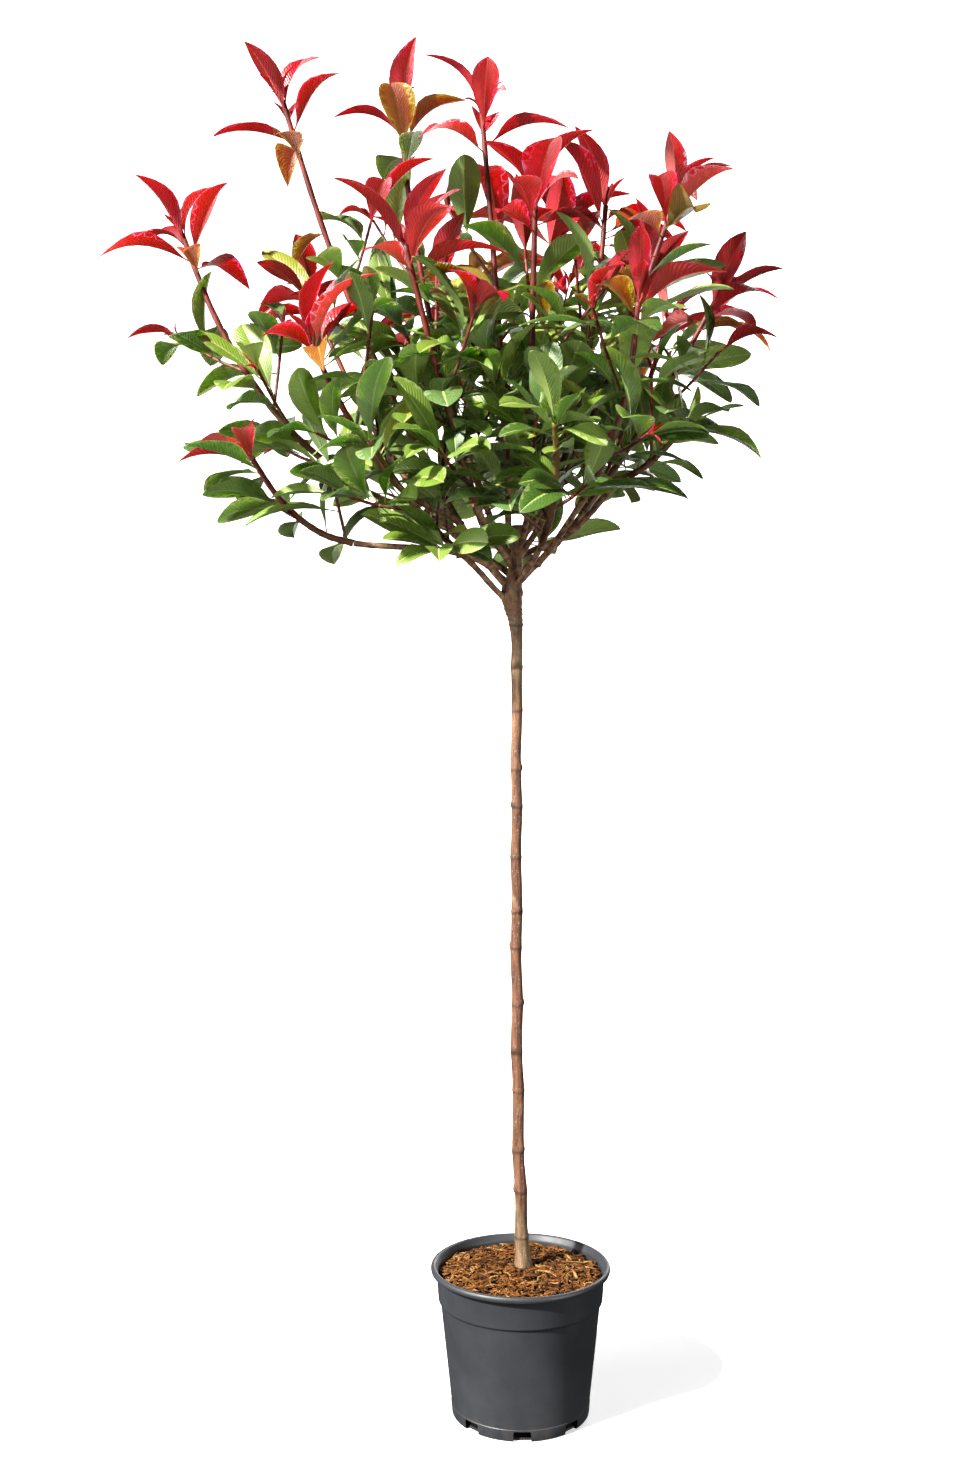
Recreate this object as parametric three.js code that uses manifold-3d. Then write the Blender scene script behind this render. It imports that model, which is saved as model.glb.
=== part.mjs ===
// A red-tipped photinia grown as a small standard tree: one bare stem, a knuckle where it was
// headed back, a loose crown of upright shoots, and the round nursery pot that it stands in.
// Millimetres, +Z up. The origin is the centre of the pot's flat underside, +X is to the
// viewer's right and +Y goes away from the viewer.
import * as THREE from "three";
import { mergeVertices } from "three/addons/utils/BufferGeometryUtils.js";
import Module from "manifold-3d";

const wasm = await Module();
wasm.setup();
const { Manifold, Mesh: SolidMesh } = wasm;

// Clearance between pieces that touch on the real plant, and a little more for cuts.
const GAP = 0.3;
const CUT_GAP = 0.33;

// Pot: a rolled rim, a collar and a tapering wall with drainage notches in its foot.
const POT_HEIGHT = 195;
const RIM_RADIUS = 120;
const RIM_HEIGHT = 8;
const RIM_EASE = 2;
const RIM_WIDTH = 5.5;
const COLLAR_TOP_RADIUS = 112;
const COLLAR_FOOT_RADIUS = 109.5;
const COLLAR_FOOT_Z = 150;
const WALL_TOP_RADIUS = 106.5;
const FOOT_RADIUS = 91.5;
const COLLAR_STEP = 2;
const WALL = 2.2;
const FLOOR = 3;
const POT_SIDES = 32;
const NOTCH_COUNT = 8;
const NOTCH_WIDTH = 23;
const NOTCH_HEIGHT = 14;
const NOTCH_DEPTH = 7;

// Bark mulch that fills the pot to just under the rim, flat round the stem.
const MULCH_Z = 188;
const MULCH_EDGE_DROP = 6;
const MULCH_FLAT_RADIUS = 24;

// Stem: its centreline and radius as [x, y, z, radius] where its lean or girth changes. It is
// cut flat at the mulch, swells to a knuckle where the crown was headed back, and ends above
// that in a pruned stub.
const STEM = [
  [4.5, 8, MULCH_Z + GAP, 12.5],
  [4, 8, 197, 10.4],
  [3, 8, 215, 9.2],
  [1, 8, 260, 8.4],
  [-2, 8, 340, 8.0],
  [-4, 8, 470, 7.8],
  [-5, 8, 620, 7.5],
  [-5, 8, 780, 7.2],
  [-5, 8, 930, 7.0],
  [-4, 8, 985, 7.8],
  [-4, 8, 1020, 7.2],
  [-7, 7, 1052, 9.0],
  [-10, 6, 1070, 12.6],
  [-11, 6, 1084, 14.5],
  [-10, 6, 1100, 13.8],
  [-7, 6, 1118, 9.6],
  [-5, 6, 1140, 7.8],
  [-5, 6, 1182, 6.8],
];
const STEM_SIDES = 10;

// Boughs. from: the limb that each grows on. at: the height on the stem where it leaves, or the
// share of the way along a bough. tip: where it enters its mass of leaves. leave and enter: its
// direction at those two places. thick: its radius at the root.
const bough = (from, at, tip, leave, enter, thick) => ({ from, at, tip, leave, enter, thick });
const BOUGHS = {
  left: bough("stem", 1096, [-99, -2, 1215], [-0.75, 0, 0.66], [-0.5, 0, 0.85], 5.8),
  left_arch: bough("left", 0.3, [-218, -55, 1150], [-0.85, -0.35, 0.4], [-1, -0.1, 0.12], 3.8),
  left_far: bough("left", 0.6, [-232, -38, 1238], [-0.8, -0.2, 0.55], [-0.85, -0.1, 0.6], 4.4),
  left_low: bough("stem", 1076, [-75, -40, 1135], [-0.75, -0.35, 0.5], [-0.65, -0.5, 0.5], 3.8),
  left_mid: bough("left", 0.75, [-160, -72, 1222], [-0.5, -0.75, 0.4], [-0.6, -0.5, 0.6], 3.9),
  left_back: bough("stem", 1112, [-121, 77, 1210], [-0.6, 0.6, 0.55], [-0.6, 0.3, 0.75], 4.3),
  centre_left: bough("stem", 1132, [-51, 35, 1226], [-0.6, 0.3, 0.75], [-0.35, 0.1, 0.93], 4.3),
  centre: bough("stem", 1146, [-16, 12, 1239], [-0.5, 0.1, 0.85], [-0.05, 0.05, 1], 4.6),
  front_left: bough("stem", 1120, [-59, -82, 1199], [-0.4, -0.75, 0.6], [-0.3, -0.3, 0.9], 4.3),
  front: bough("stem", 1140, [10, -66, 1214], [0.15, -0.8, 0.65], [0, -0.3, 0.95], 4.3),
  front_low: bough("stem", 1094, [26, -58, 1148], [0.4, -0.75, 0.5], [0.25, -0.8, 0.5], 3.8),
  back: bough("stem", 1144, [26, 62, 1232], [0.3, 0.6, 0.75], [0.15, 0.3, 0.95], 4.3),
  back_left: bough("stem", 1126, [-51, 104, 1198], [-0.35, 0.75, 0.6], [-0.3, 0.6, 0.75], 4.2),
  back_low: bough("stem", 1104, [31, 99, 1167], [0.25, 0.8, 0.5], [0.2, 0.75, 0.6], 4),
  right: bough("stem", 1098, [85, 6, 1200], [0.7, 0, 0.7], [0.6, 0.05, 0.8], 4.4),
  right_low: bough("right", 0.72, [142, -36, 1240], [0.8, -0.5, 0.35], [0.85, -0.4, 0.4], 3.8),
  right_front: bough("right", 0.32, [84, -86, 1212], [0.5, -0.7, 0.5], [0.45, -0.6, 0.7], 3.9),
  right_tall: bough("stem", 1138, [48, -23, 1221], [0.65, -0.3, 0.7], [0.45, -0.1, 0.9], 4.3),
  right_centre: bough("stem", 1158, [51, 28, 1243], [0.65, 0.25, 0.75], [0.3, 0.05, 0.95], 4.2),
  right_back: bough("stem", 1136, [88, 72, 1197], [0.65, 0.55, 0.55], [0.5, 0.5, 0.75], 4.2),
};
const BOUGH_SIDES = 5;
const BOUGH_RINGS = 4;
const BOUGH_TIP_RADIUS = 4;
const BOUGH_TAPER = 0.8;
const BOUGH_PULL = 0.36;

// Masses of leaves, one on each bough. tip: the end of the leading shoot. low: leaves spaced
// along that shoot below its terminal cluster. sides: side shoots on it. reach: their length.
// seed: sets what chance settles.
const mass = (tip, low, sides, reach, seed) => ({ tip, low, sides, reach, seed });
const MASSES = {
  left: mass([-315, -20, 1740], 6, 5, 120, 236),
  left_arch: mass([-345, -90, 1255], 4, 2, 80, 214),
  left_far: mass([-440, -58, 1550], 6, 4, 110, 187),
  left_low: mass([-190, -160, 1262], 5, 3, 110, 201),
  left_mid: mass([-262, -140, 1385], 4, 3, 110, 132),
  left_back: mass([-300, 150, 1540], 4, 3, 120, 192),
  centre_left: mass([-165, 50, 1755], 7, 5, 120, 120),
  centre: mass([-52, 5, 1740], 7, 5, 120, 165),
  front_left: mass([-145, -165, 1500], 6, 5, 115, 153),
  front: mass([15, -150, 1575], 6, 5, 115, 103),
  front_low: mass([36, -200, 1275], 4, 2, 95, 229),
  back: mass([58, 150, 1632], 5, 3, 120, 183),
  back_left: mass([-130, 270, 1480], 4, 3, 120, 186),
  back_low: mass([66, 262, 1392], 4, 3, 115, 199),
  right: mass([265, 25, 1490], 6, 5, 115, 229),
  right_low: mass([208, -78, 1298], 2, 2, 90, 161),
  right_front: mass([138, -182, 1425], 4, 4, 110, 133),
  right_tall: mass([200, -65, 1600], 6, 5, 110, 135),
  right_centre: mass([118, 45, 1625], 6, 5, 115, 127),
  right_back: mass([218, 178, 1500], 5, 3, 120, 229),
};
const TWIG_SIDES = 3;

// Leading shoots: radius at both ends, how far they keep the bough's direction, and the shares of
// the way up between which their spaced leaves and their terminal cluster grow.
const LEAD_RINGS = 4;
const LEAD_RADIUS = 4;
const LEAD_TIP_RADIUS = 3;
const LEAD_BEND = 0.45;
const SPACED_FROM = 0.04;
const SPACED_SPAN = 0.8;
const CLUSTER_FROM = 0.87;
const CLUSTER_TOP = 0.985;
const CLUSTER_LEAVES = 7;

// Side shoots: where they grow on the leading shoot, their angle to it in degrees at the lowest
// and at the highest of them, and how far they go outwards and up for their length.
const SIDE_TIP_RADIUS = 1.4;
const SIDE_FROM = 0.03;
const SIDE_SPAN = 0.64;
const SIDE_ANGLE_LOW = 66;
const SIDE_ANGLE_HIGH = 42;
const SIDE_ANGLE_SPREAD = 14;
const SIDE_STAGGER = 0.33;
const REACH_LEAST = 0.8;
const REACH_SPREAD = 0.4;
const SIDE_OUT = 0.85;
const SIDE_UP = 0.3;
const SIDE_CLUSTER_FROM = 0.42;
const SIDE_LEAVES = 4;
const SIDE_LEAF_SIZE = 0.92;
// They start inside the shoot that they grow on, with this share of its radius.
const FOOT_SHARE = 0.45;

// Leaves: long ovals with a pointed tip, folded up along the midrib and arched back. The youngest
// are shorter and stand closer to the shoot.
const LEAF_LENGTH = 112;
const YOUNGEST = 0.78;
const GROWN_AT = 0.4;
const SHORTER = 0.72;
const LEAF_WIDTH = 0.36;
const LEAF_THICK = 2.6;
const LEAF_FOLD = 0.14;
// Its edge from the foot to the tip and back, as shares of its length, width and fold.
const LEAF_EDGE = [
  [0, 0, 0],
  [0.33, 0.36, 0.6],
  [0.68, 0.46, 0.4],
  [1, 0, 0],
  [0.68, -0.46, 0.4],
  [0.33, -0.36, 0.6],
];
// Where its midrib is thickest.
const RIB_AT = 0.16;
const LEAF_DROP = 0.42;
const LEAF_BACK = 0.18;
const ARCH_LEAST = 0.22;
const ARCH_SPREAD = 0.75;
const SIZE_LEAST = 0.84;
const SIZE_SPREAD = 0.32;
const YOUNG_ANGLE = 20;
const OLD_ANGLE = 76;
const ANGLE_SPREAD = 22;
const FACE_UP = 0.9;
const SPIRAL = THREE.MathUtils.degToRad(137.5);
const TURN_SPREAD = 0.5;
// A leaf holds itself to the light: none sets off more steeply down than this.
const LOWEST_RUN = 0.02;

// Room kept between the leaves of one mass and the shoots of the next, and the share of a leaf at
// its foot that may cross others.
const SPACE_MARGIN = 3;
const POINT_SPACING = 15;
const SHOOTS_APART = 30;
const BLADE_START = 0.07;
const LIMB_CLEARANCE = 0.8;
// A leaf's foot lies inside its shoot, this share of the shoot's radius out from the middle.
const FOOT_OUT = 0.42;

const UP = new THREE.Vector3(0, 0, 1);

const point = (p) => new THREE.Vector3(p[0], p[1], p[2]);

// A run of numbers from 0 to 1 that is the same each time for the same seed: each state is the one
// before, multiplied and stepped on, in whole numbers of 32 bits.
const SEED_SPREAD = 2654435761;
const STATE_TIMES = 1664525;
const STATE_STEP = 1013904223;
const STATES = 2 ** 32;
function dice(seed) {
  let state = (seed * SEED_SPREAD) >>> 0;
  return () => {
    state = (Math.imul(state, STATE_TIMES) + STATE_STEP) >>> 0;
    return state / STATES;
  };
}

// A closed geometry as a solid that can be joined and cut, its corners merged where they meet.
const MEET_WITHIN = 1e-4;
function solidOf(geometry) {
  const bare = geometry.index ? geometry.toNonIndexed() : geometry.clone();
  bare.deleteAttribute("normal");
  bare.deleteAttribute("uv");
  const merged = mergeVertices(bare, MEET_WITHIN);
  return new Manifold(
    new SolidMesh({
      numProp: 3,
      vertProperties: new Float32Array(merged.attributes.position.array),
      triVerts: new Uint32Array(merged.index.array),
    }),
  );
}

// The largest piece of a solid as a geometry. Loose scraps and sealed hollows are left out. Its
// corners are set on a fine grid, so that none lie closer together than its step, and triangles
// that this closes up are left out, one by one or as two back to back.
const CORNER_GRID = 1e-3;
function geometryOf(solid) {
  const pieces = solid.decompose();
  pieces.sort((a, b) => b.volume() - a.volume());
  const mesh = pieces[0].getMesh();
  const onGrid = mesh.vertProperties.map((value) => Math.round(value / CORNER_GRID) * CORNER_GRID);
  const split = new THREE.BufferGeometry();
  split.setAttribute("position", new THREE.BufferAttribute(onGrid, mesh.numProp));
  split.setIndex(new THREE.BufferAttribute(mesh.triVerts, 1));
  const geometry = mergeVertices(split, CORNER_GRID / 2);
  const kept = new Map();
  for (let i = 0; i < geometry.index.count; i += 3) {
    const corners = [0, 1, 2].map((k) => geometry.index.getX(i + k));
    const key = [...corners].sort().join(" ");
    if (new Set(corners).size < 3) continue;
    if (kept.has(key)) kept.delete(key);
    else kept.set(key, corners);
  }
  geometry.setIndex([...kept.values()].flat());
  const flat = geometry.toNonIndexed();
  flat.computeVertexNormals();
  return flat;
}

// A closed geometry from corner points and triangles.
function faceted(corners, triangles) {
  const geometry = new THREE.BufferGeometry();
  geometry.setAttribute(
    "position",
    new THREE.Float32BufferAttribute(corners.flatMap((c) => [c.x, c.y, c.z]), 3),
  );
  geometry.setIndex(triangles.flat());
  return geometry;
}

// A tapering limb: rings of corners carried along a curve, with a flat cut at both ends.
function limb(curve, radiusAt, sides, rings) {
  const frames = curve.computeFrenetFrames(rings);
  const corners = [];
  const triangles = [];
  for (let i = 0; i <= rings; i++) {
    const u = i / rings;
    const centre = curve.getPoint(u);
    for (let j = 0; j < sides; j++) {
      const turn = (2 * Math.PI * j) / sides;
      corners.push(
        centre
          .clone()
          .addScaledVector(frames.normals[i], Math.cos(turn) * radiusAt(u))
          .addScaledVector(frames.binormals[i], Math.sin(turn) * radiusAt(u)),
      );
    }
  }
  joinRings(triangles, sides, rings);
  return faceted(corners, triangles);
}

// Faces between rings of corners that follow one another, and across the first and the last.
function joinRings(triangles, sides, rings) {
  for (let i = 0; i < rings; i++) {
    for (let j = 0; j < sides; j++) {
      const a = i * sides + j;
      const b = i * sides + ((j + 1) % sides);
      triangles.push([a, b, b + sides], [a, b + sides, a + sides]);
    }
  }
  const last = rings * sides;
  for (let j = 1; j < sides - 1; j++) {
    triangles.push([0, j + 1, j], [last, last + j, last + j + 1]);
  }
}

// The stem's centre and radius at a height, eased from one row of its table to the next.
function stemAt(z) {
  const next = THREE.MathUtils.clamp(STEM.findIndex((row) => row[2] >= z), 1, STEM.length - 1);
  const [low, high] = [STEM[next - 1], STEM[next]];
  const share = THREE.MathUtils.clamp((z - low[2]) / (high[2] - low[2]), 0, 1);
  const mix = (k) => THREE.MathUtils.lerp(low[k], high[k], share);
  return { centre: new THREE.Vector3(mix(0), mix(1), z), radius: mix(3) };
}

// The stem: level rings of corners at the heights of its table.
function stemGeometry(fatter) {
  const corners = [];
  const triangles = [];
  for (const row of STEM) {
    const { centre, radius } = stemAt(row[2]);
    for (let j = 0; j < STEM_SIDES; j++) {
      const turn = (2 * Math.PI * j) / STEM_SIDES;
      const out = new THREE.Vector3(Math.cos(turn), Math.sin(turn), 0);
      corners.push(centre.clone().addScaledVector(out, radius + fatter));
    }
  }
  corners.slice(0, STEM_SIDES).forEach((corner) => corner.setZ(corner.z - fatter));
  corners.slice(-STEM_SIDES).forEach((corner) => corner.setZ(corner.z + fatter));
  joinRings(triangles, STEM_SIDES, STEM.length - 1);
  return faceted(corners, triangles);
}

// Boughs as curves: each leaves its parent in one direction and enters its mass in another.
const boughCurves = {};
for (const [name, row] of Object.entries(BOUGHS)) {
  const root = row.from === "stem" ? stemAt(row.at).centre : boughCurves[row.from].getPoint(row.at);
  const tip = point(row.tip);
  const pull = root.distanceTo(tip) * BOUGH_PULL;
  boughCurves[name] = new THREE.CubicBezierCurve3(
    root,
    root.clone().addScaledVector(point(row.leave).normalize(), pull),
    tip.clone().addScaledVector(point(row.enter).normalize(), -pull),
    tip,
  );
}

// A limb's own solid, or one that is fatter all round by some millimetres, for cutting others.
function limbSolid(name, fatter = 0) {
  if (name === "stem") return solidOf(stemGeometry(fatter));
  const { thick } = BOUGHS[name];
  const radiusAt = (u) => THREE.MathUtils.lerp(thick, BOUGH_TIP_RADIUS, Math.pow(u, BOUGH_TAPER));
  return solidOf(limb(boughCurves[name], (u) => radiusAt(u) + fatter, BOUGH_SIDES, BOUGH_RINGS));
}

// Cuts each bough's root to its parent, with a gap, and clear of the boughs made before it.
const cutters = [limbSolid("stem", CUT_GAP)];
const boughSolids = {};
for (const name of Object.keys(BOUGHS)) {
  let solid = limbSolid(name);
  for (const cutter of cutters) solid = solid.subtract(cutter);
  const pieces = solid.decompose();
  pieces.sort((a, b) => b.volume() - a.volume());
  boughSolids[name] = pieces[0];
  cutters.push(limbSolid(name, CUT_GAP));
}
const limbsToMiss = ["stem", ...Object.keys(BOUGHS)].map((name) => {
  const solid = limbSolid(name, LIMB_CLEARANCE);
  return { name, solid, box: solid.boundingBox() };
});

// A direction at an angle to a curve's own direction, turned round it from the side nearest up.
function branching(tangent, turn, angle) {
  const side = new THREE.Vector3().crossVectors(tangent, UP).normalize();
  const over = new THREE.Vector3().crossVectors(side, tangent).normalize();
  const out = over.multiplyScalar(Math.cos(turn)).addScaledVector(side, Math.sin(turn));
  return out.multiplyScalar(Math.sin(angle)).addScaledVector(tangent, Math.cos(angle)).normalize();
}

// Where a cluster's leaves grow on its shoot, from a level up to the tip, and how old each is,
// from 1 for a grown leaf to 0 for the youngest.
function clusterPlaces(count, from) {
  return Array.from({ length: count }, (_, i) => ({
    level: THREE.MathUtils.lerp(from, CLUSTER_TOP, i / (count - 1)),
    age: 1 - i / (count - 1),
  }));
}

// The leading shoot of a mass: on from its bough's tip, in the bough's direction, to its own tip.
function leadingShoot(name) {
  const enter = point(BOUGHS[name].enter).normalize();
  const start = point(BOUGHS[name].tip).addScaledVector(enter, GAP);
  const tip = point(MASSES[name].tip);
  const bend = start.clone().addScaledVector(enter, start.distanceTo(tip) * LEAD_BEND);
  const low = MASSES[name].low;
  const levelOf = (i) => SPACED_FROM + (SPACED_SPAN * i) / low;
  const spaced = Array.from({ length: low }, (_, i) => ({ level: levelOf(i), age: 1 }));
  return {
    curve: new THREE.QuadraticBezierCurve3(start, bend, tip),
    thick: LEAD_RADIUS,
    thin: LEAD_TIP_RADIUS,
    rings: LEAD_RINGS,
    size: 1,
    places: [...spaced, ...clusterPlaces(CLUSTER_LEAVES, CLUSTER_FROM)],
  };
}

// The side shoots of a mass: in a spiral up the lower part of the leading shoot, turning upwards.
function sideShoots(name, lead) {
  const { sides, reach, seed } = MASSES[name];
  const chance = dice(seed);
  const shoots = [];
  const firstTurn = chance() * 2 * Math.PI;
  for (let k = 0; k < sides; k++) {
    const rise = (k + SIDE_STAGGER * chance()) / sides;
    const turn = firstTurn + k * SPIRAL + (chance() - 0.5) * TURN_SPREAD;
    const leaning = THREE.MathUtils.lerp(SIDE_ANGLE_LOW, SIDE_ANGLE_HIGH, rise);
    const angle = THREE.MathUtils.degToRad(leaning + SIDE_ANGLE_SPREAD * (chance() - 0.5));
    const length = reach * (REACH_LEAST + REACH_SPREAD * chance());
    const share = SIDE_FROM + SIDE_SPAN * rise;
    const { place: start, tangent, girth } = along(lead, share);
    const out = branching(tangent, turn, angle);
    const tip = start.clone().addScaledVector(out, length * SIDE_OUT);
    tip.addScaledVector(UP, length * SIDE_UP);
    shoots.push({
      curve: new THREE.LineCurve3(start, tip),
      thick: girth * FOOT_SHARE,
      thin: SIDE_TIP_RADIUS,
      rings: 1,
      size: SIDE_LEAF_SIZE,
      places: clusterPlaces(SIDE_LEAVES, SIDE_CLUSTER_FROM),
    });
  }
  return shoots;
}

// A shoot's joints, with straight growth between them, and a place and direction along it.
function joints(shoot) {
  return shoot.curve.getPoints(shoot.rings);
}

function along(shoot, share) {
  const all = joints(shoot);
  const step = Math.min(Math.floor(share * shoot.rings), shoot.rings - 1);
  return {
    place: all[step].clone().lerp(all[step + 1], share * shoot.rings - step),
    tangent: all[step + 1].clone().sub(all[step]).normalize(),
    girth: THREE.MathUtils.lerp(shoot.thick, shoot.thin, share),
  };
}

// Points along a shoot, close enough together to stand for it.
function alongShoot(shoot) {
  const steps = Math.ceil(shoot.curve.getLength() / POINT_SPACING);
  return Array.from({ length: steps + 1 }, (_, i) => along(shoot, i / steps).place);
}

function nearest(place, points) {
  let best = Infinity;
  for (const p of points) best = Math.min(best, place.distanceToSquared(p));
  return Math.sqrt(best);
}

// Every mass's shoots, and the points that its space is measured from. A side shoot that comes
// too near another mass's leading shoot is skipped.
const shootsOf = {};
const pointsOf = {};
for (const name of Object.keys(MASSES)) {
  shootsOf[name] = [leadingShoot(name)];
  pointsOf[name] = alongShoot(shootsOf[name][0]);
}
for (const name of Object.keys(MASSES)) {
  const others = Object.keys(MASSES).filter((other) => other !== name);
  for (const shoot of sideShoots(name, shootsOf[name][0])) {
    const places = alongShoot(shoot);
    const clearOf = (points) => places.every((p) => nearest(p, points) > SHOOTS_APART);
    const clear = others.every((other) => clearOf(pointsOf[other]));
    const solid = shootSolid(shoot);
    if (!clear || limbsToMiss.some((other) => touches(solid, other))) continue;
    shootsOf[name].push(shoot);
    pointsOf[name].push(...places);
  }
}

// A shoot's own solid, tapering to its tip.
function shootSolid(shoot) {
  const radiusAt = (u) => THREE.MathUtils.lerp(shoot.thick, shoot.thin, u);
  return solidOf(limb(shoot.curve, radiusAt, TWIG_SIDES, shoot.rings));
}

// True if a solid meets another, which carries its own box.
function touches(solid, other) {
  const box = solid.boundingBox();
  for (let axis = 0; axis < 3; axis++) {
    if (box.min[axis] > other.box.max[axis] || box.max[axis] < other.box.min[axis]) return false;
  }
  return !solid.intersect(other.solid).isEmpty();
}

// The corners of a leaf: its foot, buried in the shoot, then two places on one edge, the tip, two
// places on the other edge, and the top and bottom of its midrib where that is thickest. The
// sides stand up from the midrib and the tip arches back.
function leafCorners(foot, run, face, length, arch) {
  const side = new THREE.Vector3().crossVectors(face, run).normalize();
  const width = length * LEAF_WIDTH;
  const at = (share, across, raise) =>
    foot
      .clone()
      .addScaledVector(run, length * share * (1 - LEAF_BACK * arch * share))
      .addScaledVector(side, width * across)
      .addScaledVector(face, raise - length * arch * share * share * LEAF_DROP);
  return [
    ...LEAF_EDGE.map(([share, across, fold]) => at(share, across, width * LEAF_FOLD * fold)),
    at(RIB_AT, 0, LEAF_THICK / 2),
    at(RIB_AT, 0, -LEAF_THICK / 2),
  ];
}
const LEAF_TRIANGLES = LEAF_EDGE.flatMap((_, corner) => {
  const next = (corner + 1) % LEAF_EDGE.length;
  const [ribTop, ribUnder] = [LEAF_EDGE.length, LEAF_EDGE.length + 1];
  return [
    [ribTop, next, corner],
    [ribUnder, corner, next],
  ];
});

// True if all of a leaf is nearer to its own mass's shoots than to those of any other mass.
function keepsToItsSpace(name, corners) {
  const middles = [1, 2, 3].map((corner) => corners[corner].clone().lerp(corners[6 - corner], 0.5));
  for (const place of [...corners.slice(1), ...middles]) {
    const own = nearest(place, pointsOf[name]);
    for (const other of Object.keys(MASSES)) {
      if (other !== name && nearest(place, pointsOf[other]) < own + SPACE_MARGIN) return false;
    }
  }
  return true;
}

// The leaves of a shoot: a spiral up its places, steeper and at last smaller towards the tip. A
// leaf that finds no room, or crosses another leaf of its mass, is turned round the shoot a step
// at a time, then tried shorter, then skipped. grown: the blades of this mass's leaves so far.
const TURNS_TO_TRY = [0, 0.45, -0.45, 0.9, -0.9, 1.4, -1.4, 2.0, -2.0];
const LEAF_TRIES = [1, SHORTER].flatMap((size) => TURNS_TO_TRY.map((more) => ({ size, more })));
function leavesOf(name, shoot, seed, grown) {
  const chance = dice(seed);
  const firstTurn = chance() * 2 * Math.PI;
  const solids = [];
  shoot.places.forEach(({ level, age }, i) => {
    const turn = firstTurn + i * SPIRAL + (chance() - 0.5) * TURN_SPREAD;
    const opening = THREE.MathUtils.lerp(YOUNG_ANGLE, OLD_ANGLE, age);
    const angle = THREE.MathUtils.degToRad(opening + ANGLE_SPREAD * (chance() - 0.5));
    const growth = THREE.MathUtils.lerp(YOUNGEST, 1, Math.min(1, age / GROWN_AT));
    const length = LEAF_LENGTH * shoot.size * growth * (SIZE_LEAST + SIZE_SPREAD * chance());
    const arch = ARCH_LEAST + ARCH_SPREAD * chance();
    const { place, tangent, girth } = along(shoot, level);
    for (const { size, more } of LEAF_TRIES) {
      const run = branching(tangent, turn + more, angle);
      if (run.z < LOWEST_RUN) continue;
      const foot = place.clone().addScaledVector(run, girth * FOOT_OUT);
      const face = tangent.clone().addScaledVector(UP, FACE_UP);
      face.addScaledVector(run, -face.dot(run)).normalize();
      const grownTo = length * size;
      const corners = leafCorners(foot, run, face, grownTo, arch);
      if (!keepsToItsSpace(name, corners)) continue;
      const solid = solidOf(faceted(corners, LEAF_TRIANGLES));
      if (limbsToMiss.some((other) => touches(solid, other))) continue;
      const start = foot.clone().addScaledVector(run, grownTo * BLADE_START);
      const blade = solidOf(faceted(leafCorners(start, run, face, grownTo, arch), LEAF_TRIANGLES));
      if (grown.some((other) => touches(blade, other))) continue;
      grown.push({ solid: blade, box: blade.boundingBox() });
      solids.push(solid);
      break;
    }
  });
  return solids;
}

// A whole mass: its shoots and leaves joined into one piece.
function massSolid(name) {
  const twigs = shootsOf[name].map(shootSolid);
  const grown = [];
  const seedOf = (k) => MASSES[name].seed * 100 + k;
  const leaves = shootsOf[name].flatMap((shoot, k) => leavesOf(name, shoot, seedOf(k), grown));
  return [...twigs, ...leaves].reduce((sum, part) => sum.add(part));
}

// The pot turned round Z, with notches cut through the foot of its wall, one of them in front.
function potGeometry() {
  const rimFoot = POT_HEIGHT - RIM_HEIGHT;
  const profile = [
    [0, 0],
    [FOOT_RADIUS, 0],
    [WALL_TOP_RADIUS, COLLAR_FOOT_Z - COLLAR_STEP],
    [COLLAR_FOOT_RADIUS, COLLAR_FOOT_Z],
    [COLLAR_TOP_RADIUS, rimFoot],
    [RIM_RADIUS - RIM_EASE, rimFoot],
    [RIM_RADIUS, rimFoot + RIM_EASE],
    [RIM_RADIUS - RIM_EASE, POT_HEIGHT],
    [RIM_RADIUS - RIM_WIDTH, POT_HEIGHT],
    [COLLAR_TOP_RADIUS - WALL, rimFoot],
    [COLLAR_FOOT_RADIUS - WALL, COLLAR_FOOT_Z],
    [WALL_TOP_RADIUS - WALL, COLLAR_FOOT_Z - COLLAR_STEP],
    [FOOT_RADIUS - WALL, FLOOR],
    [0, FLOOR],
  ];
  const turned = new THREE.LatheGeometry(profile.map(([r, z]) => new THREE.Vector2(r, z)), POT_SIDES);
  turned.rotateX(Math.PI / 2);
  let pot = solidOf(turned);
  for (let k = 0; k < NOTCH_COUNT; k++) {
    const notch = new THREE.BoxGeometry(NOTCH_WIDTH, NOTCH_DEPTH * 2, NOTCH_HEIGHT * 2);
    notch.translate(0, -FOOT_RADIUS, 0);
    notch.rotateZ((2 * Math.PI * k) / NOTCH_COUNT);
    pot = pot.subtract(solidOf(notch));
  }
  return geometryOf(pot);
}

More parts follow.
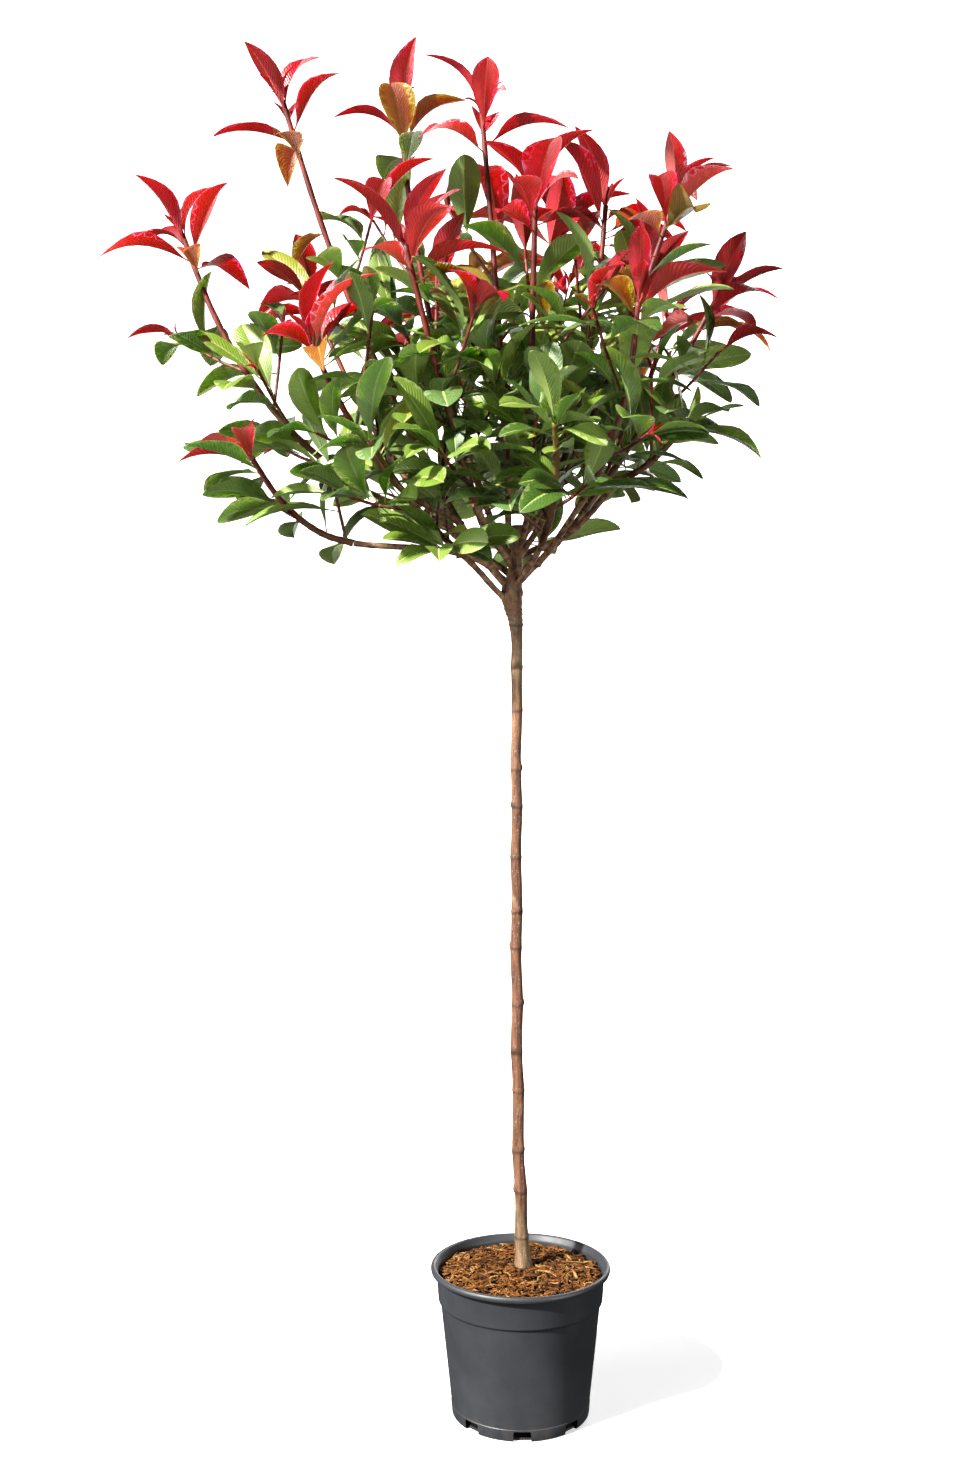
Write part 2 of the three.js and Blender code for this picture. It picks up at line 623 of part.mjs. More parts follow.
// The mulch fills the pot a gap away from its inside, over the notches, and falls to its edge.
function mulchGeometry() {
  const wallFoot = COLLAR_FOOT_Z - COLLAR_STEP;
  const rimFoot = POT_HEIGHT - RIM_HEIGHT;
  const { mapLinear } = THREE.MathUtils;
  const inWall = (z) => mapLinear(z, FLOOR, wallFoot, FOOT_RADIUS, WALL_TOP_RADIUS) - WALL - GAP;
  const inCollar = (z) =>
    mapLinear(z, COLLAR_FOOT_Z, rimFoot, COLLAR_FOOT_RADIUS, COLLAR_TOP_RADIUS) - WALL - GAP;
  const low = FLOOR + GAP;
  const overNotches = NOTCH_HEIGHT + GAP;
  const inNotches = FOOT_RADIUS - NOTCH_DEPTH - GAP;
  const edge = MULCH_Z - MULCH_EDGE_DROP;
  const profile = [
    [0, low],
    [inNotches, low],
    [inNotches, overNotches],
    [inWall(NOTCH_HEIGHT), overNotches],
    [inWall(wallFoot), COLLAR_FOOT_Z - COLLAR_STEP / 2],
    [inCollar(COLLAR_FOOT_Z), COLLAR_FOOT_Z + COLLAR_STEP / 2],
    [inCollar(edge), edge],
    [MULCH_FLAT_RADIUS, MULCH_Z],
    [0, MULCH_Z],
  ];
  const turned = new THREE.LatheGeometry(profile.map(([r, z]) => new THREE.Vector2(r, z)), POT_SIDES);
  turned.rotateX(Math.PI / 2);
  return geometryOf(solidOf(turned));
}

const plastic = new THREE.MeshStandardMaterial({ color: 0x3a3d42, roughness: 0.5, metalness: 0 });
const mulch = new THREE.MeshStandardMaterial({ color: 0x8a5430, roughness: 0.95, metalness: 0 });
const bark = new THREE.MeshStandardMaterial({ color: 0x8c6a4c, roughness: 0.8, metalness: 0 });
const twigBark = new THREE.MeshStandardMaterial({ color: 0x5f3c2b, roughness: 0.75, metalness: 0 });
const greenLeaf = new THREE.MeshStandardMaterial({ color: 0x4f7a2c, roughness: 0.4, metalness: 0 });
const redLeaf = new THREE.MeshStandardMaterial({ color: 0xb3202e, roughness: 0.4, metalness: 0 });

// Masses whose leading shoots carry the young red leaves above the green.
const RED_TOPPED = [
  "left",
  "left_far",
  "left_back",
  "centre",
  "front_left",
  "front",
  "back",
  "back_left",
  "right",
  "right_tall",
  "right_centre",
  "right_back",
];

const plant = new THREE.Group();
plant.name = "potted_photinia_standard";

function addMesh(name, geometry, material) {
  const mesh = new THREE.Mesh(geometry, material);
  mesh.name = name;
  plant.add(mesh);
}

addMesh("pot", potGeometry(), plastic);
addMesh("mulch", mulchGeometry(), mulch);
addMesh("stem", geometryOf(limbSolid("stem")), bark);
for (const name of Object.keys(BOUGHS)) {
  addMesh("bough_" + name, geometryOf(boughSolids[name]), twigBark);
}
for (const name of Object.keys(MASSES)) {
  const material = RED_TOPPED.includes(name) ? redLeaf : greenLeaf;
  addMesh("foliage_" + name, geometryOf(massSolid(name)), material);
}

export default plant;
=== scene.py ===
"""Looks of a red-tipped photinia grown as a small standard tree in its nursery pot.

The growth rule is the same as in the part's source: boughs on a bare stem, one mass of leaves on
each bough, side shoots and leaves in a spiral. Here it goes on to finer twigs. Lengths in the
tables below are in millimetres, and every mesh is in metres. +Z is up, +X is to the viewer's
right and +Y goes away from the viewer.
"""
import math

import bpy
import numpy as np
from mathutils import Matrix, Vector
from mathutils.bvhtree import BVHTree


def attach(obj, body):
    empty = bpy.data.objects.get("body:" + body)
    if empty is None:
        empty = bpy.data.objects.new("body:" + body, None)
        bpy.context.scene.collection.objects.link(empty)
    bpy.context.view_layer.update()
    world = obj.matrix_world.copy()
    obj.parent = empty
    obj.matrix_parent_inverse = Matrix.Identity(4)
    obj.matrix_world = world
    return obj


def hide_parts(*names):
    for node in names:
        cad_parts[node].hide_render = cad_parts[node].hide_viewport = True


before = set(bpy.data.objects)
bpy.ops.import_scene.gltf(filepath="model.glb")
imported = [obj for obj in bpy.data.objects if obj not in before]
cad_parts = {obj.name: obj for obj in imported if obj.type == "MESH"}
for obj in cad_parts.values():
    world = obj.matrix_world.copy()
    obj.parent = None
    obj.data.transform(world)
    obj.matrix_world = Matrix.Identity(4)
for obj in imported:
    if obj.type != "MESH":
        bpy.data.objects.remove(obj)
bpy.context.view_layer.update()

# Metres in a millimetre, and the gap between neighbouring solids in millimetres.
MM = 0.001
GAP = 0.3

# Pot and mulch, in millimetres.
POT_HEIGHT = 195.0
RIM_RADIUS = 120.0
RIM_HEIGHT = 8.0
COLLAR_TOP_RADIUS = 112.0
COLLAR_FOOT_RADIUS = 109.5
COLLAR_FOOT_Z = 150.0
WALL_TOP_RADIUS = 106.5
FOOT_RADIUS = 91.5
WALL = 2.2
FLOOR = 3.0
NOTCH_COUNT = 8
NOTCH_WIDTH = 23.0
NOTCH_HEIGHT = 14.0
NOTCH_DEPTH = 7.0
NOTCH_EASE = 3.0
MULCH_Z = 188.0
MULCH_RADIUS = 104.0
MULCH_EDGE_DROP = 6.0

# Stem: its centreline and radius as [x, y, z, radius] where its lean or girth changes.
STEM = [
    [4.5, 8, MULCH_Z + GAP, 12.5],
    [4, 8, 197, 10.4],
    [3, 8, 215, 9.2],
    [1, 8, 260, 8.4],
    [-2, 8, 340, 8.0],
    [-4, 8, 470, 7.8],
    [-5, 8, 620, 7.5],
    [-5, 8, 780, 7.2],
    [-5, 8, 930, 7.0],
    [-4, 8, 985, 7.8],
    [-4, 8, 1020, 7.2],
    [-7, 7, 1052, 9.0],
    [-10, 6, 1070, 12.6],
    [-11, 6, 1084, 14.5],
    [-10, 6, 1100, 13.8],
    [-7, 6, 1118, 9.6],
    [-5, 6, 1140, 7.8],
    [-5, 6, 1182, 6.8],
]

# Boughs: parent, height on the stem or share along the parent bough, tip, direction at the root,
# direction at the tip, radius at the root.
BOUGHS = {
    "left": ("stem", 1096, [-99, -2, 1215], [-0.75, 0, 0.66], [-0.5, 0, 0.85], 5.8),
    "left_arch": ("left", 0.3, [-218, -55, 1150], [-0.85, -0.35, 0.4], [-1, -0.1, 0.12], 3.8),
    "left_far": ("left", 0.6, [-232, -38, 1238], [-0.8, -0.2, 0.55], [-0.85, -0.1, 0.6], 4.4),
    "left_low": ("stem", 1076, [-75, -40, 1135], [-0.75, -0.35, 0.5], [-0.65, -0.5, 0.5], 3.8),
    "left_mid": ("left", 0.75, [-160, -72, 1222], [-0.5, -0.75, 0.4], [-0.6, -0.5, 0.6], 3.9),
    "left_back": ("stem", 1112, [-121, 77, 1210], [-0.6, 0.6, 0.55], [-0.6, 0.3, 0.75], 4.3),
    "centre_left": ("stem", 1132, [-51, 35, 1226], [-0.6, 0.3, 0.75], [-0.35, 0.1, 0.93], 4.3),
    "centre": ("stem", 1146, [-16, 12, 1239], [-0.5, 0.1, 0.85], [-0.05, 0.05, 1], 4.6),
    "front_left": ("stem", 1120, [-59, -82, 1199], [-0.4, -0.75, 0.6], [-0.3, -0.3, 0.9], 4.3),
    "front": ("stem", 1140, [10, -66, 1214], [0.15, -0.8, 0.65], [0, -0.3, 0.95], 4.3),
    "front_low": ("stem", 1094, [26, -58, 1148], [0.4, -0.75, 0.5], [0.25, -0.8, 0.5], 3.8),
    "back": ("stem", 1144, [26, 62, 1232], [0.3, 0.6, 0.75], [0.15, 0.3, 0.95], 4.3),
    "back_left": ("stem", 1126, [-51, 104, 1198], [-0.35, 0.75, 0.6], [-0.3, 0.6, 0.75], 4.2),
    "back_low": ("stem", 1104, [31, 99, 1167], [0.25, 0.8, 0.5], [0.2, 0.75, 0.6], 4),
    "right": ("stem", 1098, [85, 6, 1200], [0.7, 0, 0.7], [0.6, 0.05, 0.8], 4.4),
    "right_low": ("right", 0.72, [142, -36, 1240], [0.8, -0.5, 0.35], [0.85, -0.4, 0.4], 3.8),
    "right_front": ("right", 0.32, [84, -86, 1212], [0.5, -0.7, 0.5], [0.45, -0.6, 0.7], 3.9),
    "right_tall": ("stem", 1138, [48, -23, 1221], [0.65, -0.3, 0.7], [0.45, -0.1, 0.9], 4.3),
    "right_centre": ("stem", 1158, [51, 28, 1243], [0.65, 0.25, 0.75], [0.3, 0.05, 0.95], 4.2),
    "right_back": ("stem", 1136, [88, 72, 1197], [0.65, 0.55, 0.55], [0.5, 0.5, 0.75], 4.2),
}
BOUGH_RINGS = 4
BOUGH_SIDES = 5
BOUGH_TIP_RADIUS = 4
BOUGH_TAPER = 0.8
BOUGH_PULL = 0.36

# Masses: tip of the leading shoot, leaves spaced below its terminal cluster, side shoots, their
# length, seed, and how many of the top leaves are red and how many below those are bronze.
MASSES = {
    "left": ([-315, -20, 1740], 6, 5, 120, 236, 5, 3),
    "left_arch": ([-345, -90, 1255], 4, 2, 80, 214, 3, 0),
    "left_far": ([-440, -58, 1550], 6, 4, 110, 187, 6, 1),
    "left_low": ([-190, -160, 1262], 5, 3, 110, 201, 0, 0),
    "left_mid": ([-262, -140, 1385], 4, 3, 110, 132, 4, 1),
    "left_back": ([-300, 150, 1540], 4, 3, 120, 192, 5, 1),
    "centre_left": ([-165, 50, 1755], 7, 5, 120, 120, 3, 2),
    "centre": ([-52, 5, 1740], 7, 5, 120, 165, 8, 1),
    "front_left": ([-145, -165, 1500], 6, 5, 115, 153, 6, 1),
    "front": ([15, -150, 1575], 6, 5, 115, 103, 7, 1),
    "front_low": ([36, -200, 1275], 4, 2, 95, 229, 0, 0),
    "back": ([58, 150, 1632], 5, 3, 120, 183, 5, 1),
    "back_left": ([-130, 270, 1480], 4, 3, 120, 186, 5, 1),
    "back_low": ([66, 262, 1392], 4, 3, 115, 199, 0, 1),
    "right": ([265, 25, 1490], 6, 5, 115, 229, 6, 1),
    "right_low": ([208, -78, 1298], 2, 2, 90, 161, 0, 0),
    "right_front": ([138, -182, 1425], 4, 4, 110, 133, 3, 1),
    "right_tall": ([200, -65, 1600], 6, 5, 110, 135, 5, 3),
    "right_centre": ([118, 45, 1625], 6, 5, 115, 127, 6, 1),
    "right_back": ([218, 178, 1500], 5, 3, 120, 229, 4, 1),
}
TWIG_SIDES = 3

# Leading shoots: radius at both ends, how far they keep the bough's direction, and the shares of
# the way up between which their spaced leaves and their terminal cluster grow.
LEAD_RINGS = 4
LEAD_RADIUS = 4
LEAD_TIP_RADIUS = 3
LEAD_BEND = 0.45
SPACED_FROM = 0.04
SPACED_SPAN = 0.8
CLUSTER_FROM = 0.87
CLUSTER_TOP = 0.985
CLUSTER_LEAVES = 7

# Side shoots: where they grow on the leading shoot, their angle to it in degrees at the lowest
# and at the highest of them, and how far they go outwards and up for their length.
SIDE_TIP_RADIUS = 1.4
FOOT_SHARE = 0.45
SIDE_FROM = 0.03
SIDE_SPAN = 0.64
SIDE_ANGLE_LOW = 66
SIDE_ANGLE_HIGH = 42
SIDE_ANGLE_SPREAD = 14
SIDE_STAGGER = 0.33
REACH_LEAST = 0.8
REACH_SPREAD = 0.4
SIDE_OUT = 0.85
SIDE_UP = 0.3
SIDE_CLUSTER_FROM = 0.42
SIDE_LEAVES = 4
SIDE_LEAF_SIZE = 0.92

# Leaves: long ovals with a pointed tip, folded up along the midrib and arched back. The youngest
# are shorter and stand closer to the shoot.
LEAF_LENGTH = 112.0
YOUNGEST = 0.78
GROWN_AT = 0.4
SHORTER = 0.72
LEAF_WIDTH = 0.36
LEAF_THICK = 2.6
LEAF_FOLD = 0.14
LEAF_DROP = 0.42
LEAF_BACK = 0.18
ARCH_LEAST = 0.22
ARCH_SPREAD = 0.75
SIZE_LEAST = 0.84
SIZE_SPREAD = 0.32
YOUNG_ANGLE = 20
OLD_ANGLE = 76
ANGLE_SPREAD = 22
FACE_UP = 0.9
LEAF_SIDES = 6
SPIRAL = math.radians(137.5)
TURN_SPREAD = 0.5
LOWEST_RUN = 0.02
TURNS_TO_TRY = [0, 0.45, -0.45, 0.9, -0.9, 1.4, -1.4, 2.0, -2.0]

# Room kept between the leaves of one mass and the shoots of the next, and the share of a leaf at
# its foot that may cross others.
SPACE_MARGIN = 3.0
POINT_SPACING = 15.0
SHOOTS_APART = 30.0
BLADE_START = 0.07
LOOSE_BLADE_START = 0.25
LIMB_CLEARANCE = 0.8
FOOT_OUT = 0.42

# A span is (least, spread). The finer twig that the solids leave out, one on each leading shoot:
# where it grows, its angle in degrees, its length and its leaves.
FINE_FROM = (0.08, 0.6)
FINE_TURN = 2.0
FINE_ANGLE = (48, 20)
FINE_REACH = 78.0
FINE_LENGTH = (0.75, 0.5)
FINE_BEND = 0.1
FINE_APART = 12.0
FINE_CLUSTER_FROM = 0.36
FINE_LEAVES = 5
FINE_LEAF_SIZE = 0.8
FINE_RADIUS = 1.7
FINE_TIP_RADIUS = 1.0
# Leaves between those of the source on low side shoots: how far below them they stand.
SPUR_BELOW = 0.1
# Masses at the crown's sides that stay open, without finer twigs and leaves between.
OPEN_MASSES = (
    "left", "left_far", "left_back", "left_mid", "left_arch",
    "right", "right_low", "right_back", "right_tall", "right_front",
)
# Red on side shoots: the height and the number of a mass's red leaves from which they are red, up
# to which age, and how many of the others have a red tip.
RED_ABOVE = 1480.0
RED_MASS = 3
RED_AGE = 0.5
TIPPED_AGE = 0.3
TIPPED_SIDES = 4
TIPPED_TWIGS = 7
# Unfolding leaves at the tips: their length on leading and on other shoots, and how many of the
# others bear them, above which height.
LEAD_BUD = 44.0
SIDE_BUD = 24.0
BUDDING_SHARE = 0.45
BUDS_ABOVE = 1200.0
BUD_LEAVES = 3
BUD_AT = 0.995
BUD_ANGLE = (12, 16)
BUD_LENGTH = (0.7, 0.6)
BUD_ARCH = (0.1, 0.5)
# Bark and leaf scars make leading, side and finer shoots stouter than their cores.
TWIG_STOUT = (1.16, 1.4, 1.15)

# Seeds: how many each mass has, and the first of those for finer twigs, for unfolding leaves, for
# leaves between and for a finer twig's leaves.
SEEDS_PER_MASS = 100
FINE_SEED = 50
BUD_SEED = 70
SPUR_SEED = 30
FINE_LEAF_SEED = 10

UP = np.array([0.0, 0.0, 1.0])


def unit(v):
    """v / |v|."""
    v = np.asarray(v, float)
    return v / np.linalg.norm(v)


def dice(seed):
    """A run of numbers from 0 to 1, the same each time for the same seed."""
    state = (seed * 2654435761) & 0xFFFFFFFF

    def roll():
        nonlocal state
        state = (state * 1664525 + 1013904223) & 0xFFFFFFFF
        return state / 4294967296

    return roll


def seed_of(name, number):
    """The seed of one thing on a mass."""
    return MASSES[name][4] * SEEDS_PER_MASS + number


def within(span, chance):
    """A number from a span's least up to its least plus its spread."""
    return span[0] + span[1] * chance()


def lerp(a, b, t):
    """a + (b - a) t."""
    return a + (b - a) * t


def round_steps(count):
    """Angles of a whole turn in equal steps."""
    return np.linspace(0, 2 * np.pi, count, endpoint=False)


def bezier(points, u):
    """A Bezier curve of any degree at shares u: the sum of C(n, k) (1 - u)^(n - k) u^k P_k."""
    points = np.asarray(points, float)
    u = np.atleast_1d(np.asarray(u, float))
    n = len(points) - 1
    weights = [math.comb(n, k) * (1 - u) ** (n - k) * u**k for k in range(n + 1)]
    return np.einsum("ku,kc->uc", np.array(weights), points)


def stem_at(z):
    """The stem's centre and radius at heights z, in straight lines between its table's rows."""
    rows = np.array(STEM, float)
    centre = np.stack([np.interp(z, rows[:, 2], rows[:, 0]), np.interp(z, rows[:, 2], rows[:, 1]), z], -1)
    return centre, np.interp(z, rows[:, 2], rows[:, 3])


def bough_curves():
    """Control points of each bough's cubic curve, from its parent's centreline to its tip."""
    curves = {}
    for name, (parent, at, tip, leave, enter, _) in BOUGHS.items():
        if parent == "stem":
            root = stem_at(np.array([float(at)]))[0][0]
        else:
            root = bezier(curves[parent], at)[0]
        tip = np.array(tip, float)
        pull = BOUGH_PULL * np.linalg.norm(tip - root)
        curves[name] = [root, root + unit(leave) * pull, tip - unit(enter) * pull, tip]
    return curves


CURVES = bough_curves()


def bough_radius(name, u):
    """The bough's radius at share u: from its root's to its tip's with u^BOUGH_TAPER."""
    return lerp(BOUGHS[name][5], BOUGH_TIP_RADIUS, np.power(u, BOUGH_TAPER))


def branching(tangent, turn, angle):
    """A direction at an angle to the tangent, turned round it from the side nearest up."""
    side = np.cross(tangent, UP)
    side = unit(side) if side @ side > 1e-6 else np.array([1.0, 0.0, 0.0])
    over = unit(np.cross(side, tangent))
    out = over * math.cos(turn) + side * math.sin(turn)
    return unit(out * math.sin(angle) + tangent * math.cos(angle))


class Shoot:
    """A straight-jointed shoot: its joints, its radius at root and tip, and its leaves' places."""

    def __init__(self, control, rings, girths, places, size, level):
        self.joints = bezier(control, np.linspace(0, 1, rings + 1))
        self.thick, self.thin = girths
        self.places = places
        self.size = size
        self.level = level

    def at(self, share):
        """Place, direction and radius at a share of the shoot."""
        last = len(self.joints) - 1
        step = min(int(share * last), last - 1)
        low, high = self.joints[step], self.joints[step + 1]
        return lerp(low, high, share * last - step), unit(high - low), lerp(self.thick, self.thin, share)

    def points(self):
        """Points along it, close enough together to stand for it."""
        length = np.linalg.norm(np.diff(self.joints, axis=0), axis=1).sum()
        steps = math.ceil(length / POINT_SPACING)
        return np.array([self.at(i / steps)[0] for i in range(steps + 1)])


def cluster_places(count, start):
    """Levels of a cluster's leaves from start to the tip, each with its age from 1 down to 0."""
    return [(lerp(start, CLUSTER_TOP, i / (count - 1)), 1 - i / (count - 1)) for i in range(count)]


def leading_shoot(name):
    """On from the bough's tip, in the bough's direction, to the mass's own tip."""
    enter = unit(BOUGHS[name][4])
    start = np.array(BOUGHS[name][2], float) + enter * GAP
    tip = np.array(MASSES[name][0], float)
    bend = start + enter * np.linalg.norm(tip - start) * LEAD_BEND
    low = MASSES[name][1]
    places = [(SPACED_FROM + SPACED_SPAN * i / low, 1.0) for i in range(low)]
    places += cluster_places(CLUSTER_LEAVES, CLUSTER_FROM)
    return Shoot([start, bend, tip], LEAD_RINGS, (LEAD_RADIUS, LEAD_TIP_RADIUS), places, 1.0, 0)


def side_shoots(name, lead):
    """In a spiral up the lower part of the leading shoot, turning upwards."""
    _, _, sides, reach, seed, _, _ = MASSES[name]
    chance = dice(seed)
    first_turn = chance() * 2 * math.pi
    for k in range(sides):
        rise = (k + SIDE_STAGGER * chance()) / sides
        turn = first_turn + k * SPIRAL + (chance() - 0.5) * TURN_SPREAD
        leaning = lerp(SIDE_ANGLE_LOW, SIDE_ANGLE_HIGH, rise)
        angle = math.radians(leaning + SIDE_ANGLE_SPREAD * (chance() - 0.5))
        length = reach * (REACH_LEAST + REACH_SPREAD * chance())
        start, tangent, girth = lead.at(SIDE_FROM + SIDE_SPAN * rise)
        out = branching(tangent, turn, angle)
        tip = start + out * length * SIDE_OUT + UP * length * SIDE_UP
        places = cluster_places(SIDE_LEAVES, SIDE_CLUSTER_FROM)
        girths = (girth * FOOT_SHARE, SIDE_TIP_RADIUS)
        yield Shoot([start, tip], 1, girths, places, SIDE_LEAF_SIZE, 1)


def tree_of(points, triangles):
    """A search tree over a surface, and the surface's box."""
    points = np.asarray(points)
    tree = BVHTree.FromPolygons(points.tolist(), triangles)
    return tree, points.min(0), points.max(0)


def meets(one, other):
    """True if two surfaces cross."""
    (tree_a, low_a, high_a), (tree_b, low_b, high_b) = one, other
    if (low_a > high_b).any() or (high_a < low_b).any():
        return False
    return bool(tree_a.overlap(tree_b))


def ring_faces(sides, rings):
    """Triangles between rings of corners and across both ends."""
    faces = []
    for i in range(rings):
        for j in range(sides):
            a, b = i * sides + j, i * sides + (j + 1) % sides
            faces += [(a, b, b + sides), (a, b + sides, a + sides)]
    last = rings * sides
    for j in range(1, sides - 1):
        faces += [(0, j + 1, j), (last, last + j, last + j + 1)]
    return faces


def frames_along(path):
    """Directions across a path at each of its points: the normal is carried along with the least
    turning, by taking from it its part along the next tangent. Returns normals and binormals."""
    tangents = np.gradient(path, axis=0)
    tangents /= np.linalg.norm(tangents, axis=1, keepdims=True)
    start = np.cross(tangents[0], UP if abs(tangents[0] @ UP) < 0.9 else [1.0, 0.0, 0.0])
    normals = [unit(start)]
    for tangent in tangents[1:]:
        normals.append(unit(normals[-1] - tangent * (normals[-1] @ tangent)))
    normals = np.array(normals)
    return normals, np.cross(tangents, normals)


def tube(path, radii, sides):
    """Rings of corners round a path: P + r (n cos a + b sin a). Shape (rings, sides, 3)."""
    normals, binormals = frames_along(path)
    turns = round_steps(sides)
    cos, sin = np.cos(turns)[None, :, None], np.sin(turns)[None, :, None]
    across = normals[:, None] * cos + binormals[:, None] * sin
    return path[:, None] + across * np.asarray(radii)[:, None, None]


def limb_trees(sides=10):
    """Every limb, fatter by the clearance, as a surface to keep leaves and shoots away from."""
    rows = np.array(STEM, float)
    turns = round_steps(sides)
    ring = np.stack([np.cos(turns), np.sin(turns), 0 * turns], -1)
    stem = rows[:, None, :3] + ring[None] * (rows[:, None, 3:] + LIMB_CLEARANCE)
    trees = [tree_of(stem.reshape(-1, 3), ring_faces(sides, len(rows) - 1))]
    u = np.linspace(0, 1, BOUGH_RINGS + 1)
    for name in BOUGHS:
        rings = tube(bezier(CURVES[name], u), bough_radius(name, u) + LIMB_CLEARANCE, BOUGH_SIDES)
        trees.append(tree_of(rings.reshape(-1, 3), ring_faces(BOUGH_SIDES, BOUGH_RINGS)))
    return trees


LIMBS = limb_trees()


# The plain leaf of the solids: its foot, its edge round to the tip and back, and the top and bottom
# of its midrib, as [share of the length, share of the width, share of the fold, height].
PLAIN_LEAF = np.array([
    [0, 0, 0, 0],
    [0.33, 0.36, 0.6, 0],
    [0.68, 0.46, 0.4, 0],
    [1, 0, 0, 0],
    [0.68, -0.46, 0.4, 0],
    [0.33, -0.36, 0.6, 0],
    [0.16, 0, 0, LEAF_THICK / 2],
    [0.16, 0, 0, -LEAF_THICK / 2],
])
EDGE = [(c, (c + 1) % LEAF_SIDES) for c in range(LEAF_SIDES)]
LEAF_FACES = [f for a, b in EDGE for f in ((LEAF_SIDES, b, a), (LEAF_SIDES + 1, a, b))]


def leaf_corners(foot, run, face, length, arch):
    """The plain leaf's corners. Along it goes L s (1 - LEAF_BACK arch s), and down it
    L arch s^2 LEAF_DROP."""
    side = np.cross(face, run)
    width = length * LEAF_WIDTH
    s, across, folded, height = PLAIN_LEAF.T
    along = length * s * (1 - LEAF_BACK * arch * s)
    raised = width * LEAF_FOLD * folded + height - length * arch * s**2 * LEAF_DROP
    return foot + along[:, None] * run + (width * across)[:, None] * side + raised[:, None] * face


class Blades:
    """Leaves already placed, with their boxes for a quick first test."""

    def __init__(self):
        self.trees = []
        self.boxes = np.zeros((0, 6))

    def add(self, blade):
        self.trees.append(blade)
        self.boxes = np.vstack([self.boxes, np.concatenate(blade[1:])])

    def cross(self, blade):
        """True if the blade crosses any that is kept."""
        near = (self.boxes[:, :3] <= blade[2]).all(1) & (self.boxes[:, 3:] >= blade[1]).all(1)
        return any(blade[0].overlap(self.trees[k][0]) for k in np.flatnonzero(near))


class Crown:
    """Grows every mass by the rule and keeps what has been placed."""

    def __init__(self):
        self.shoots = {name: [leading_shoot(name)] for name in MASSES}
        self.space = {name: shoots[0].points() for name, shoots in self.shoots.items()}
        self.blades = {name: Blades() for name in MASSES}
        self.all_blades = Blades()
        self.leaves = []
        for name in MASSES:
            for shoot in side_shoots(name, self.shoots[name][0]):
                self.add_shoot(name, shoot, SHOOTS_APART)

    def clearance(self, name, places):
        """For each place, its distance to this mass's shoots and to those of any other mass."""
        own = np.linalg.norm(places[:, None] - self.space[name][None], axis=2).min(1)
        others = np.concatenate([p for other, p in self.space.items() if other != name])
        return own, np.linalg.norm(places[:, None] - others[None], axis=2).min(1)

    def add_shoot(self, name, shoot, apart):
        """Keeps a shoot unless it comes near another mass's shoots or touches a limb."""
        places = shoot.points()
        if self.clearance(name, places)[1].min() <= apart:
            return False
        radii = np.linspace(shoot.thick, shoot.thin, len(shoot.joints))
        body = tube(shoot.joints, radii, TWIG_SIDES).reshape(-1, 3)
        grown = tree_of(body, ring_faces(TWIG_SIDES, len(shoot.joints) - 1))
        if any(meets(grown, limb) for limb in LIMBS):
            return False
        self.shoots[name].append(shoot)
        self.space[name] = np.concatenate([self.space[name], places])
        return True

    def room_for(self, name, corners):
        """True if the leaf is nearer to its own mass's shoots than to any other's, with a margin."""
        middles = [(corners[c] + corners[6 - c]) / 2 for c in (1, 2, 3)]
        own, other = self.clearance(name, np.concatenate([corners[1:], middles]))
        return bool((other >= own + SPACE_MARGIN).all())

    def fits(self, name, corners, blade, keep_apart):
        """True if a leaf has room: in its mass's own space and clear of that mass's leaves, or,
        where masses needn't keep apart, clear of every leaf."""
        if keep_apart and not self.room_for(name, corners):
            return False
        leaf = tree_of(corners, LEAF_FACES)
        if any(meets(leaf, limb) for limb in LIMBS):
            return False
        return not (self.blades[name] if keep_apart else self.all_blades).cross(blade)

    def grow_leaves(self, name, shoot, seed, tint, keep_apart=True, skip=()):
        """Leaves in a spiral up a shoot. Each is tried at several turns, then shorter, then left
        out. tint(i, age) names its colour. Returns the numbers of the places that got a leaf."""
        chance = dice(seed)
        first_turn = chance() * 2 * math.pi
        placed = []
        for i, (level, age) in enumerate(shoot.places):
            turn = first_turn + i * SPIRAL + (chance() - 0.5) * TURN_SPREAD
            opening = lerp(YOUNG_ANGLE, OLD_ANGLE, age)
            angle = math.radians(opening + ANGLE_SPREAD * (chance() - 0.5))
            growth = lerp(YOUNGEST, 1, min(1, age / GROWN_AT))
            length = LEAF_LENGTH * shoot.size * growth * (SIZE_LEAST + SIZE_SPREAD * chance())
            arch = ARCH_LEAST + ARCH_SPREAD * chance()
            if i in skip:
                continue
            place, tangent, girth = shoot.at(level)
            for size, more in [(size, more) for size in (1, SHORTER) for more in TURNS_TO_TRY]:
                run = branching(tangent, turn + more, angle)
                if run[2] < LOWEST_RUN:
                    continue
                foot = place + run * girth * FOOT_OUT
                face = tangent + UP * FACE_UP
                face = unit(face - run * (face @ run))
                grown = length * size
                corners = leaf_corners(foot, run, face, grown, arch)
                blade_at = foot + run * grown * (BLADE_START if keep_apart else LOOSE_BLADE_START)
                blade = tree_of(leaf_corners(blade_at, run, face, grown, arch), LEAF_FACES)
                if not self.fits(name, corners, blade, keep_apart):
                    continue
                self.blades[name].add(blade)
                self.all_blades.add(blade)
                placed.append(i)
                leaf = dict(foot=foot, run=run, face=face, length=grown, arch=arch, tint=tint(i, age))
                self.leaves.append(leaf)
                break
        return placed


def lead_tint(name):
    """Colours up a leading shoot: red at the top, bronze below that, then green."""
    _, low, _, _, _, red, bronze = MASSES[name]
    total = low + CLUSTER_LEAVES

    def tint(i, age):
        from_top = total - 1 - i
        if from_top < red:
            return "red"
        return "bronze" if from_top < red + bronze else "green"

    return tint


